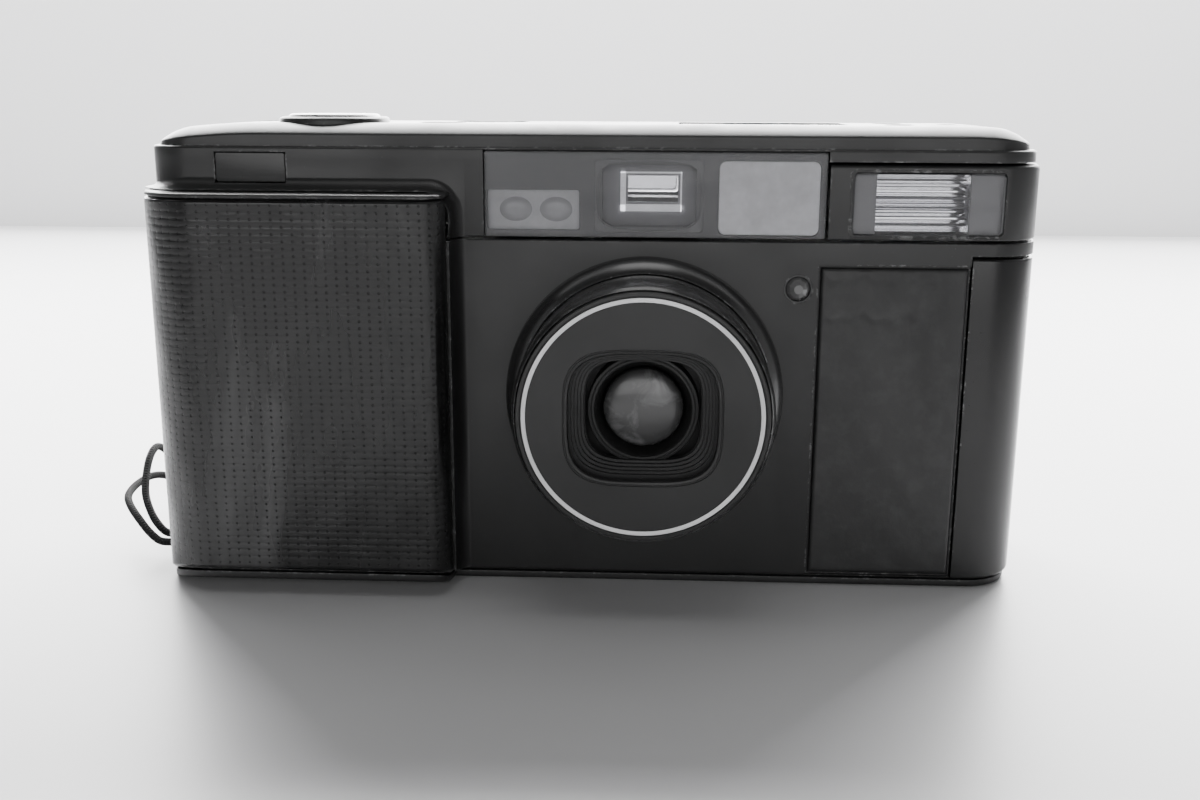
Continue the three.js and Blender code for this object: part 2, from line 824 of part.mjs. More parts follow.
// Materials
const finish = (color, roughness, metalness = 0, opacity = 1) =>
  new THREE.MeshStandardMaterial({
    color,
    roughness,
    metalness,
    opacity,
    transparent: opacity < 1,
  });

const paint = finish(0x1b1b1c, 0.45, 0.1);
const rubber = finish(0x141415, 0.55);
const plastic = finish(0x161617, 0.6);
const acrylic = finish(0x2a2c30, 0.08, 0, 0.5);
const frosted = finish(0xb9bcbf, 0.7);
const glass = finish(0x5a6a78, 0.05, 0, 0.45);
const steel = finish(0x9a9ca0, 0.3, 1);
const silver = finish(0xd5d7da, 0.15, 1);
const brass = finish(0xb8964c, 0.35, 1);
const board = finish(0x1f5a34, 0.6);
const sleeve = finish(0x2e3b6b, 0.5);
const cordage = finish(0x202022, 0.85);

// Assembly
const camera = new THREE.Group();
const body = new THREE.Group();
body.position.y = bodyMiddle;
camera.add(body);

function place(name, solid, material) {
  const mesh = new THREE.Mesh(geometryOf(solid), material);
  mesh.name = name;
  body.add(mesh);
}

place("front_cover", frontCover(), paint);
place("side_cover", sideCover(), paint);
place("top_cover", topCover(), paint);
place("base_plate", basePlate(), paint);
place("grip_rubber", gripRubber(), rubber);
place("front_skin", frontSkin(), rubber);
place("chassis", chassis(), plastic);
screws.forEach((spot, i) => place(`base_screw_${i + 1}`, baseScrew(spot), steel));

place("window_bar", windowBar(), acrylic);
place("af_module", afModule(), plastic);
place("finder_tunnel", finderTunnel(), plastic);
place("finder_objective", finderObjective(), glass);
place("finder_eyepiece", finderEyepiece(), glass);
place("eyepiece_rim", eyepieceRim(), rubber);
place("frame_illuminator", frameIlluminator(), frosted);
place("light_meter_window", lightMeterWindow(), acrylic);
place("timer_lamp", timerLamp(), glass);

place("flash_cover", flashCover(), plastic);
place("flash_window", flashWindow(), glass);
place("flash_reflector", flashReflector(), silver);
place("flash_tube", flashTube(), glass);
place("flash_capacitor", flashCapacitor(), sleeve);

place("lens_collar", lensCollar(), paint);
place("lens_barrel", lensBarrel(), paint);
place("lens_front_plate", frontPlate(), paint);
place("lens_baffle", lensBaffle(), plastic);
place("barrier_blade_upper_main", barrierBlade(1, mainLayer), plastic);
place("barrier_blade_upper_sub", barrierBlade(1, subLayer), plastic);
place("barrier_blade_lower_main", barrierBlade(-1, mainLayer), plastic);
place("barrier_blade_lower_sub", barrierBlade(-1, subLayer), plastic);
place("lens_cell", lensCell(), plastic);
place("front_element", frontElement(), glass);
place("rear_element", rearElement(), glass);
place("shutter_leaf_left", shutterLeaf(-1), steel);
place("shutter_leaf_right", shutterLeaf(1), steel);

place("shutter_button", shutterButton(), steel);
place("power_button", roundButton(-19.5, -4.5, 2.9, 0.1), plastic);
place("mode_button", roundButton(40.6, -4.4, 1.9, 0.1), plastic);
place("timer_button", roundButton(40.6, 4.4, 1.9, 0.1), plastic);
place("aperture_dial", knurledDial(-47.8, 3.4, 4.7, 16, height - 0.7), plastic);
place("exposure_dial", knurledDial(-14, 4.6, 4.9, 14, height - 0.1), plastic);
place("flash_switch", flashSwitch(), plastic);
place("lcd_panel", lcdPanel(), glass);
place("circuit_board", circuitBoard(), board);

place("back_door", backDoor(), paint);
place("film_window", filmWindow(), acrylic);
place("pressure_plate", pressurePlate(), steel);
place("door_hinge_pin", hingePin(), steel);
place("door_latch", doorLatch(), plastic);
place("take_up_spool", takeUpSpool(), plastic);
place("rewind_fork", rewindFork(), plastic);

place("battery", battery(), sleeve);
place("battery_door", batteryDoor(), plastic);
place("tripod_bush", tripodBush(), brass);
place("strap_lug", strapLug(), steel);
for (const [name, route] of Object.entries(strandRoutes)) {
  place(name, strandTube(route), cordage);
}
place("strap_ferrule", strapFerrule(), steel);
place("strap_hank", strapHank(), cordage);

export default camera;
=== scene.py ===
"""A compact 35 mm autofocus camera: the looks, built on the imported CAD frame.

Lengths are millimetres in the body's own frame: y = 0 is the middle of the thin body, z = 0 is the
base, the front faces -Y. point() turns them into the row frame's metres.
"""

from math import copysign, cos, exp, floor, pi, radians, sin, sqrt

import bmesh
import bpy
from mathutils import Matrix, Vector


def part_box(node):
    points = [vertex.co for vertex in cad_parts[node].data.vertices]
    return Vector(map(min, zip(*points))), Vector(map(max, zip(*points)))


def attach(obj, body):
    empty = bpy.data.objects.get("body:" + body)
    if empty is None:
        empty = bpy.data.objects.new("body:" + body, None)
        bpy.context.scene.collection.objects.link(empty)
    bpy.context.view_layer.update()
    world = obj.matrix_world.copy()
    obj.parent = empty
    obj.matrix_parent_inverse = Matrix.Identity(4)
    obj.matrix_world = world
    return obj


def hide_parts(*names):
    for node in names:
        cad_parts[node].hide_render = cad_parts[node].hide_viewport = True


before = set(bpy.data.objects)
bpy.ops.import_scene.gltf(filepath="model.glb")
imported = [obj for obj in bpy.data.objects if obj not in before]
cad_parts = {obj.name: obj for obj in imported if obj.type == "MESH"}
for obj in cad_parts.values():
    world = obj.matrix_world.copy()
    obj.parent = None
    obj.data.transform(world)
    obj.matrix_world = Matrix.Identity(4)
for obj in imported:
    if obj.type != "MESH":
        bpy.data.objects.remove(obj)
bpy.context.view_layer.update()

MM = 0.001


def span(node):
    """A CAD node's extent along x, y and z in row-frame millimetres."""
    low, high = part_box(node)
    return [(low[i] / MM, high[i] / MM) for i in range(3)]


# Sizes that the frame doesn't give
DEPTH = 26.5
RIDGE = 58.1
WALL = 1.4
RUBBER = 0.9
GAP = 0.3
SEAM = 0.15
GRIP_BIG_CORNER, GRIP_CORNER = 9.0, 3.0
KNUCKLE = 1.7
LOW_KNUCKLE, MIDDLE_KNUCKLE, HIGH_KNUCKLE = (3, 7.6), (8, 38), 38.4
BAND_BACK = 10.6
COVER_BACK = 8.6
ROOF_STEP = (56.2, 56.5)
FUNNEL_FRONT, FUNNEL_BACK = -24.4, -21.4
GLASS_RADIUS = 5.12
STRAND = 1.1
WRIST = 2.0
FAR_X, FAR_Y, FAR_Z = 80, 30, 70  # beyond the body on every side, for cutting boxes

# Driving dimensions, read from the frame
RIGHT = span("side_cover")[0][1]
FRONT = -DEPTH / 2
BACK = DEPTH / 2
MIDDLE = span("side_cover")[1][0] - FRONT
LEFT = span("grip_rubber")[0][0]
GRIP_FRONT = span("grip_rubber")[1][0] - MIDDLE
GRIP_RIGHT = span("grip_rubber")[0][1]
GRIP_TOP = span("front_cover")[2][1]
LENS_FRONT = span("lens_front_plate")[1][0] - MIDDLE
LENS_X = sum(span("lens_collar")[0]) / 2
LENS_Z = sum(span("lens_collar")[2]) / 2
BASE_TOP = span("base_plate")[2][1]
BELT = span("top_cover")[2][0] - SEAM
TOP = span("top_cover")[2][1]
BAND_LEFT = span("top_cover")[0][0]
SIDE_X = span("side_cover")[0][0]
SIDE_TOP = span("side_cover")[2][1]
DOOR_BOTTOM, DOOR_TOP = span("back_door")[2]
HINGE = (sum(span("door_hinge_pin")[0]) / 2, sum(span("door_hinge_pin")[1]) / 2 - MIDDLE)
FERRULE = span("strap_ferrule")
HANK = span("strap_hank")
LID_X = span("battery_door")[0]
LID_Y = [y - MIDDLE for y in span("battery_door")[1]]
GRIP_LEFT = BAND_LEFT + SEAM
GRIP_EDGE = GRIP_RIGHT + SEAM
GRIP_RIM = GRIP_TOP + SEAM

# Places on the front as (x, z), on the roof and the base as (x, y)
LAMP = (27.4, 40.5)
LUG_X, LUG_Y = LEFT + 0.9, -6.8
BUTTON_AT = (-34.5, -2.6)
POWER_AT = (-19.5, -4.5)
APERTURE_AT = (-47.8, 3.4)
EXPOSURE_AT = (-14, 4.6)
MODE_AT = (40.6, -4.4)
TIMER_AT = (40.6, 4.4)
SCREWS = ((-50.5, 6.5), (51, -6.5))
BUSH_AT = (LENS_X, 1.0)

# Openings in the front as (x0, z0, x1, z1), the flash mirror's ends, and the display in the roof
AF_WINDOW = (-12.65, 47.8, -0.85, 52.85)
FINDER_GLASS = (1.1, 47.5, 15.0, 56.7)
FRAME_WINDOW = (16.9, 47.15, 29.8, 56.65)
FLASH = (34.0, 47.6, 52.8, 55.2)
MIRROR_LEFT, MIRROR_RIGHT = 36.9, 48.7
DISPLAY = (12.1, -5.3, 33.9, 5.3)


def point(x, y, z):
    """Millimetres in the body's own frame as metres in the row frame."""
    return Vector((x, y + MIDDLE, z)) * MM


# ---------------- mesh building


def add_object(name, data):
    """A new object in the scene."""
    obj = bpy.data.objects.new(name, data)
    bpy.context.scene.collection.objects.link(obj)
    return obj


def as_object(bm):
    """A bmesh as an object; finish_piece names it."""
    mesh = bpy.data.meshes.new("mesh")
    bm.to_mesh(mesh)
    bm.free()
    return add_object("mesh", mesh)


def from_bmesh(bm, weld=1e-6):
    """A closed mesh with its doubled points welded, the welding distance in metres."""
    bmesh.ops.remove_doubles(bm, verts=bm.verts, dist=weld)
    bmesh.ops.dissolve_degenerate(bm, edges=bm.edges, dist=1e-7)
    bmesh.ops.recalc_face_normals(bm, faces=bm.faces)
    return as_object(bm)


def loft(rings, closed=False):
    """Skins rings of equal length; open stacks get a cap at each end."""
    bm = bmesh.new()
    made = [[bm.verts.new(point(*p)) for p in ring] for ring in rings]
    pairs = list(zip(made, made[1:])) + ([(made[-1], made[0])] if closed else [])
    for low, high in pairs:
        for i in range(len(low)):
            j = (i + 1) % len(low)
            bm.faces.new((low[i], low[j], high[j], high[i]))
    if not closed:
        bm.faces.new(made[0])
        bm.faces.new(made[-1])
    return from_bmesh(bm)


def rounded(u0, v0, u1, v1, radii, steps=8, along=1):
    """A rectangle with a radius at each corner [low-low, high-low, high-high, low-high], as a
    function of how far it is inset. Its long sides are cut into as many pieces as along says."""
    a, b, c, d = radii if isinstance(radii, (tuple, list)) else (radii,) * 4

    def outline(inset=0.0):
        x0, y0, x1, y1 = u0 + inset, v0 + inset, u1 - inset, v1 - inset
        corners = []
        for x, y, sx, sy, radius, quarter in (
            (x1, y0, -1, 1, b, 3),
            (x1, y1, -1, -1, c, 0),
            (x0, y1, 1, -1, d, 1),
            (x0, y0, 1, 1, a, 2),
        ):
            r = max(radius - inset, 0.02)
            corners.append(arc(x + sx * r, y + sy * r, r, quarter * 90, quarter * 90 + 90, steps))
        result = []
        for i, corner in enumerate(corners):
            result += corner
            (u, v), (p, q) = corner[-1], corners[(i + 1) % 4][0]
            for k in range(1, along if i % 2 else 1):
                result.append((u + (p - u) * k / along, v + (q - v) * k / along))
        return result

    return outline


def levels(low, high, low_edge, high_edge, steps=5):
    """(level, inset) pairs of a wall whose two rims are quarter-rounds."""
    result = []
    for i in range(steps + 1 if low_edge else 1):
        angle = (i / steps if low_edge else 1) * pi / 2
        result.append((low + low_edge * (1 - cos(angle)), low_edge * (1 - sin(angle))))
    for i in range(steps + 1 if high_edge else 1):
        angle = (1 - (i / steps if high_edge else 0)) * pi / 2
        result.append((high - high_edge * (1 - cos(angle)), high_edge * (1 - sin(angle))))
    return result


def raised(outline, low, high, low_edge=0.0, high_edge=0.0):
    """A plan outline (x, y) raised from low to high."""
    stack = levels(low, high, low_edge, high_edge)
    return loft([[(u, v, z) for u, v in outline(inset)] for z, inset in stack])


def plate(outline, near, far, near_edge=0.0, far_edge=0.0):
    """A front-view outline (x, z) that runs from near back to far."""
    stack = levels(near, far, near_edge, far_edge)
    return loft([[(u, y, v) for u, v in outline(inset)] for y, inset in stack])


def box(x0, x1, y0, y1, z0, z1):
    """A plain block."""
    return raised(lambda inset: [(x0, y0), (x1, y0), (x1, y1), (x0, y1)], z0, z1)


def turned(profile, segments=96, x=LENS_X, z=LENS_Z, y=None, base=0.0):
    """A closed (radius, height) profile turned about an axis along Y, or along Z where y is given.
    Heights count from base."""
    profile = [(r, base + h) for r, h in profile]
    rings = []
    for i in range(segments):
        c, s = cos(2 * pi * i / segments), sin(2 * pi * i / segments)
        if y is None:
            rings.append([(x + r * c, h, z + r * s) for r, h in profile])
        else:
            rings.append([(x + r * c, y + r * s, h) for r, h in profile])
    return loft(rings, closed=True)


def disc(radius, low, high, segments=48, **centre):
    return turned([(0, low), (radius, low), (radius, high), (0, high)], segments, **centre)


def arc(cx, cy, radius, start, end, steps=6):
    """Points of a circular arc, angles in degrees."""
    angles = [radians(start + (end - start) * i / steps) for i in range(steps + 1)]
    return [(cx + radius * cos(a), cy + radius * sin(a)) for a in angles]


def combine(obj, operation, others):
    """Cuts the others from a mesh or joins them to it; they are used up."""
    operands = bpy.data.collections.new("operands")
    bpy.context.scene.collection.children.link(operands)
    for other in others:
        bpy.context.scene.collection.objects.unlink(other)
        operands.objects.link(other)
    modifier = obj.modifiers.new("boolean", "BOOLEAN")
    modifier.operation = operation
    modifier.operand_type = "COLLECTION"
    modifier.collection = operands
    modifier.solver = "EXACT"
    graph = bpy.context.evaluated_depsgraph_get()
    graph.update()
    old = obj.data
    mesh = bpy.data.meshes.new_from_object(obj.evaluated_get(graph))
    obj.modifiers.clear()
    obj.data = mesh
    for used in (old, *(other.data for other in others)):
        bpy.data.meshes.remove(used)
    bpy.data.collections.remove(operands)
    return obj


def carve(obj, *cutters):
    return combine(obj, "DIFFERENCE", cutters)


def join(obj, *others):
    return combine(obj, "UNION", others)


def soften(obj, width, angle):
    """A small bevel on every edge sharper than the angle."""
    bevel = obj.modifiers.new("bevel", "BEVEL")
    bevel.width = width * MM
    bevel.segments = 2
    bevel.limit_method = "ANGLE"
    bevel.angle_limit = radians(angle)


def paint(obj, material):
    """Gives an object one material only."""
    obj.data.materials.clear()
    obj.data.materials.append(material)


def finish_piece(obj, name, material, node=None, body="camera_body", angle=32):
    """Names a piece, shades it smooth up to an angle in degrees, gives it its material, ties it
    to the body that it rides on and hides the CAD node that it stands for."""
    obj.name = name
    obj.data.name = name
    obj.data.shade_smooth()
    obj.data.set_sharp_from_angle(angle=radians(angle))
    paint(obj, material)
    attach(obj, body)
    if node:
        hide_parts(node)
    return obj


# ---------------- materials


class Nodes:
    """A small helper that keeps node graphs readable."""

    def __init__(self, name):
        self.material = bpy.data.materials.new(name)
        self.material.use_nodes = True
        self.tree = self.material.node_tree
        self.shader = self.tree.nodes["Principled BSDF"]
        self.coordinates = self.add("TexCoord").outputs["Object"]

    def add(self, kind, inputs=None, **settings):
        node = self.tree.nodes.new("ShaderNode" + kind)
        for key, value in settings.items():
            setattr(node, key, value)
        for key, value in (inputs or {}).items():
            self.put(node.inputs[key], value)
        return node

    def put(self, socket, value):
        if isinstance(value, bpy.types.NodeSocket):
            self.tree.links.new(value, socket)
        else:
            socket.default_value = value

    def noise(self, per_mm, detail=4, roughness=0.55, vector=None, distortion=0.0):
        inputs = {"Vector": vector or self.coordinates, "Scale": per_mm / MM}
        inputs.update({"Detail": detail, "Roughness": roughness, "Distortion": distortion})
        return self.add("TexNoise", inputs).outputs["Fac"]

    def stretched(self, x, y, z):
        inputs = {"Vector": self.coordinates, "Scale": (x, y, z)}
        return self.add("Mapping", inputs).outputs["Vector"]

    def math(self, operation, a, b=0.0, clamp=False):
        node = self.add("Math", {0: a, 1: b}, operation=operation, use_clamp=clamp)
        return node.outputs[0]

    def ramp(self, value, low, high, out_low=0.0, out_high=1.0):
        inputs = {"Value": value, "From Min": low, "From Max": high}
        inputs.update({"To Min": out_low, "To Max": out_high})
        return self.add("MapRange", inputs).outputs["Result"]

    def mix(self, factor, a, b):
        node = self.add("Mix", data_type="RGBA")
        self.put(node.inputs["Factor"], factor)
        self.put(node.inputs["A"], a)
        self.put(node.inputs["B"], b)
        return node.outputs["Result"]

    def bump(self, height, distance, strength=1.0, normal=None):
        inputs = {"Height": height, "Distance": distance * MM, "Strength": strength}
        if normal is not None:
            inputs["Normal"] = normal
        return self.add("Bump", inputs).outputs["Normal"]

    def edges(self, radius):
        """1 on sharp edges, 0 on flats."""
        bevel = self.add("Bevel", {"Radius": radius * MM}, samples=6)
        geometry = self.add("NewGeometry")
        dot = self.add("VectorMath", operation="DOT_PRODUCT")
        self.put(dot.inputs[0], bevel.outputs["Normal"])
        self.put(dot.inputs[1], geometry.outputs["Normal"])
        return self.ramp(dot.outputs["Value"], 0.995, 0.86)

    def set(self, **values):
        for key, value in values.items():
            self.put(self.shader.inputs[key.replace("_", " ")], value)


def grey(level):
    """A grey just on the blue side, as a colour with alpha."""
    return (level, level, level * 1.01, 1.0)


def moulded(name, level, roughness, grain=2.2, grain_depth=0.012, wear=0.0, rounding=0.12,
            coat=0.0, painted_glow=0.0, shine=0.5):
    """Grained paint or plastic: fine grain in the bump, slow variation in the gloss, dust, and
    paint rubbed pale along the edges. coat adds a clear layer, painted_glow lights it from inside
    as painted light, though it is no lamp, and shine sets the strength of its reflections."""
    n = Nodes(name)
    base = n.mix(n.ramp(n.noise(0.05, 3), 0.35, 0.7), grey(level), grey(level * 1.35))
    dust = n.ramp(n.noise(3.0, 2, 0.7), 0.72, 0.8, 0.0, 0.5)
    colour = n.mix(n.math("MULTIPLY", dust, n.ramp(n.noise(0.12, 2), 0.5, 0.62)), base, grey(0.16))
    if wear:
        chips = n.ramp(n.noise(0.45, 6, 0.75, distortion=1.2), 0.53, 0.6)
        rubbed = n.math("MULTIPLY", n.edges(0.45), chips, clamp=True)
        colour = n.mix(n.math("MULTIPLY", rubbed, wear), colour, grey(0.42))
    gloss = n.ramp(n.noise(0.09, 4), 0.3, 0.7, roughness * 0.85, roughness * 1.2)
    bevel = n.add("Bevel", {"Radius": rounding * MM}, samples=4).outputs["Normal"]
    grained = n.bump(n.noise(grain, 3, 0.6), grain_depth, 0.5, bevel)
    n.set(Base_Color=colour, Roughness=gloss, Normal=grained)
    n.set(Coat_Weight=coat, Coat_Roughness=0.25)
    n.set(Emission_Color=grey(1.0), Emission_Strength=painted_glow, Specular_IOR_Level=shine)
    return n.material


def pinholes(n, across, up, radius):
    """1 inside the little holes at the bricks' corners, which stand in a grid on the UV map."""
    parts = n.add("SeparateXYZ", {0: n.add("TexCoord").outputs["UV"]})
    offsets = []
    for axis, pitch in ((0, across), (1, up)):
        cell = n.math("FRACT", n.math("ADD", n.math("DIVIDE", parts.outputs[axis], pitch * MM), 0.5))
        away = n.math("MULTIPLY", n.math("SUBTRACT", cell, 0.5), pitch / radius)
        offsets.append(n.math("MULTIPLY", away, away))
    return n.ramp(n.math("ADD", *offsets), 1.3, 0.5)


def rubber(name, level, roughness, lumps=0.0, holes=None):
    """Glossy rubber, polished in patches by the hand. lumps is their height; holes gives the
    pitches and the radius of the pinholes. With holes the colour gets pale vertical streaks, partly
    wear and partly painted reflection, and painted shade inside the pinholes."""
    n = Nodes(name)
    patches = n.ramp(n.noise(0.06, 4, 0.6, n.stretched(1, 1, 0.45)), 0.4, 0.62)
    gloss = n.mix(patches, grey(roughness * 1.35), grey(roughness * 0.7))
    skin = n.bump(n.noise(1.6, 4, 0.65), 0.03, 0.6)
    if lumps:
        skin = n.bump(n.noise(0.22, 3, 0.5), lumps, 1.0, skin)
    tint = n.mix(n.ramp(n.noise(0.5, 5), 0.45, 0.75), grey(level), grey(level * 1.7))
    if holes:
        # Pale vertical streaks in the colour: partly wear, partly painted reflection of the room.
        wear_and_painted_sheen = n.ramp(n.noise(0.05, 5, 0.6, n.stretched(1, 1, 0.35), 0.4), 0.5, 0.66)
        tint = n.mix(wear_and_painted_sheen, tint, grey(0.05))
        pits_and_painted_shade = pinholes(n, *holes)
        skin = n.bump(n.math("SUBTRACT", 1.0, pits_and_painted_shade), 0.12, 1.0, skin)
        # The colour is darker inside the pinholes: painted shade.
        tint = n.mix(pits_and_painted_shade, tint, grey(level * 0.4))
    n.set(Base_Color=tint, Roughness=gloss, Normal=skin)
    return n.material


def metal(name, level, roughness, brushed=(1, 1, 30)):
    n = Nodes(name)
    streaks = n.noise(0.8, 4, 0.6, n.stretched(*brushed))
    colour = n.mix(streaks, grey(level * 0.85), grey(level * 1.1))
    gloss = n.ramp(streaks, 0.3, 0.7, roughness * 0.8, roughness * 1.3)
    n.set(Base_Color=colour, Roughness=gloss, Metallic=1.0, Normal=n.bump(streaks, 0.01, 0.4))
    return n.material


def clear(name, level, tint, roughness, haze):
    """A thin clear pane or lens: see-through straight on, mirror-like at a slant, a little dusty."""
    n = Nodes(name)
    smears = n.ramp(n.noise(0.35, 5, 0.7), 0.45, 0.8, roughness, roughness + 0.12)
    n.set(Base_Color=grey(level), IOR=1.5, Roughness=smears)
    veil = n.ramp(n.noise(0.5, 6, 0.75), 0.35, 0.8, haze * 0.6, haze * 1.5)
    see_through = n.add("BsdfTransparent", {"Color": grey(tint)})
    fresnel = n.add("Fresnel", {"IOR": 1.55}).outputs["Fac"]
    solid = n.math("ADD", fresnel, veil, clamp=True)
    blend = n.add("MixShader", {0: solid})
    n.put(blend.inputs[1], see_through.outputs[0])
    n.put(blend.inputs[2], n.shader.outputs[0])
    n.put(n.tree.nodes["Material Output"].inputs["Surface"], blend.outputs[0])
    return n.material


def braided(name, level, pitch):
    """Woven cord: two sets of strands crossing round it."""
    n = Nodes(name)
    parts = n.add("SeparateXYZ", {0: n.add("TexCoord").outputs["UV"]})
    along = n.math("MULTIPLY", parts.outputs[0], pitch)
    round_it = n.math("MULTIPLY", parts.outputs[1], 2 * pi * 3)
    one = n.math("SINE", n.math("ADD", along, round_it))
    other = n.math("SINE", n.math("SUBTRACT", along, round_it))
    weave_height_and_shade = n.math("MAXIMUM", one, other)
    fuzz = n.math("MULTIPLY", n.noise(4.0, 3, 0.7), 0.5)
    # Darker in the gaps between the strands and paler on their crowns: painted shade and painted
    # highlight.
    colour = n.mix(n.ramp(weave_height_and_shade, -0.2, 1.0), grey(level * 0.4), grey(level * 1.6))
    n.set(Base_Color=colour, Roughness=0.8, Specular_IOR_Level=0.2)
    n.set(Normal=n.bump(n.math("ADD", weave_height_and_shade, fuzz), 0.12, 0.8))
    return n.material


def lens_glass():
    """Coated glass over dark optics: a soft grey veil painted in the middle, blotchy and fading out
    towards the rim, is painted reflection of the optics inside and partly dusty haze.
    """
    n = Nodes("front_lens_glass")
    parts = n.add("SeparateXYZ", {0: n.coordinates})
    x = n.math("SUBTRACT", parts.outputs[0], LENS_X * MM)
    z = n.math("SUBTRACT", parts.outputs[2], LENS_Z * MM)
    radius = n.math("SQRT", n.math("ADD", n.math("MULTIPLY", x, x), n.math("MULTIPLY", z, z)))
    # The grey veil and its blotchy patches in the colour: painted reflection, partly dusty haze; darker
    # towards the rim.
    veil = n.ramp(radius, GLASS_RADIUS * MM, 4.3 * MM, 0.1, 1.0)
    painted_reflection_blotches = n.ramp(n.noise(0.35, 4, 0.6, distortion=0.6), 0.5, 0.7, 0.35, 1.0)
    colour = n.mix(n.math("MULTIPLY", veil, painted_reflection_blotches), grey(0.006), grey(0.16))
    n.set(Base_Color=colour, Roughness=0.25, Coat_Weight=0.3, Coat_Roughness=0.1)
    return n.material


PAINT = moulded("satin_black_paint", 0.011, 0.4, wear=0.45)
BACK_PAINT = moulded("back_paint", 0.009, 0.5, wear=0.15, shine=0.2)
COLLAR = moulded("collar_paint", 0.014, 0.24, grain_depth=0.004, wear=0.3, rounding=0.2, coat=0.9)
BARREL = moulded("barrel_paint", 0.014, 0.26, grain_depth=0.004, wear=0.3, rounding=0.15, coat=0.9)
FACE = moulded("lens_face_paint", 0.012, 0.45, grain=4.0, grain_depth=0.006)
PLASTIC = moulded("matte_black_plastic", 0.02, 0.55, grain=3.0, rounding=0.1)
SIDE = moulded("side_cover_paint", 0.01, 0.24, grain=1.2, grain_depth=0.01, wear=0.45)
CELL = moulded("lens_cell_black", 0.008, 0.55, grain_depth=0.004)
GRIP = rubber("grip_rubber", 0.006, 0.25, holes=(1.32, 0.9, 0.14))
SKIN = rubber("front_skin_rubber", 0.014, 0.42, lumps=0.06)
WHITE = moulded("white_ring_paint", 0.75, 0.5, grain_depth=0.003)
FROSTED = moulded("frosted_window", 0.92, 0.6, grain=5.0, grain_depth=0.003)
ACRYLIC = clear("window_acrylic", 0.35, 0.95, 0.03, haze=0.12)
MASK = moulded("window_mask", 0.1, 0.5, grain_depth=0.0)
GLASS = clear("coated_glass", 0.3, 0.97, 0.03, haze=0.06)
FLASH_PANE = clear("flash_pane", 0.5, 1.0, 0.05, haze=0.04)
STEEL = metal("blackened_steel", 0.3, 0.35)
SATIN = metal("satin_steel", 0.6, 0.25)
BUTTON = metal("button_metal", 0.22, 0.32, (1, 1, 1))
BRASS = metal("bush_brass", 0.55, 0.3)
CHROME = metal("reflector_plating", 0.92, 0.12, (0.3, 1, 8))
CORD = braided("braided_nylon", 0.02, 9000.0)
THIN_CORD = braided("thin_nylon", 0.012, 14000.0)
TRAY = moulded("af_tray_grey", 0.62, 0.5)
CHEEK = moulded("flash_cheek_grey", 0.14, 0.45)
LENSLET = moulded("lenslet", 0.44, 0.2, grain_depth=0.0, coat=0.5)
# The bright lines are lit from inside though they are no lamp: painted light standing in for the light
# that the frame window passes to them.
GLOWING_BRIGHT_LINE = moulded("bright_line", 0.9, 0.4, painted_glow=0.6)
SCREEN = moulded("finder_screen", 0.3, 0.4)
GRIP_PLAIN = rubber("plain_rubber", 0.02, 0.5)
METER = moulded("meter_acrylic", 0.006, 0.22, grain_depth=0.0)
LAMP_GLASS = moulded("lamp_glass", 0.09, 0.15, grain_depth=0.0, coat=1.0)
CRYSTAL = moulded("crystal_grey", 0.3, 0.35, grain_depth=0.0)
LENS_GLASS = lens_glass()
INNER = moulded("inner_plastic", 0.025, 0.6)
LEAF = metal("shutter_steel", 0.25, 0.4)
BOARD = moulded("board_green", 0.05, 0.5)
SLEEVE = moulded("sleeve_blue_grey", 0.08, 0.4)


# ---------------- camera, floor and lights

# The photo's viewpoint, solved from the camera's edges and lens: millimetres and degrees
EYE = (9.2, -176.1, 64.8)
YAW, PITCH, ROLL = -2.55, 13.57, 0.27
FOCAL = 38.04
ROOM_X, ROOM_FRONT, ROOM_BACK, ROOM_HIGH, BOARD_THICK = 1500, -1800, 440, 1200, 5


def viewpoint():
    """Sets the scene's camera where the photo's camera stood."""
    yaw, pitch, roll = (radians(v) for v in (YAW, PITCH, ROLL))
    forward = Vector((sin(yaw) * cos(pitch), cos(yaw) * cos(pitch), -sin(pitch)))
    across = Vector((cos(yaw), -sin(yaw), 0))
    up = across.cross(forward)
    x_axis = across * cos(roll) + up * sin(roll)
    y_axis = up * cos(roll) - across * sin(roll)
    data = bpy.data.cameras.new("view")
    data.lens = FOCAL
    data.sensor_width = 36.0
    data.clip_start = 0.01
    camera = add_object("view", data)
    turn = Matrix((x_axis, y_axis, -forward)).transposed().to_4x4()
    camera.matrix_world = Matrix.Translation(point(*EYE)) @ turn
    bpy.context.scene.camera = camera


def area_light(name, place, target, size, power):
    """A soft rectangular light at a place, turned towards a target; lengths are millimetres."""
    data = bpy.data.lights.new(name, "AREA")
    data.shape = "RECTANGLE"
    data.size, data.size_y = size[0] * MM, size[1] * MM
    data.energy = power
    light = add_object(name, data)
    light.location = point(*place)
    aim = point(*target) - light.location
    light.rotation_euler = aim.to_track_quat("-Z", "Y").to_euler()


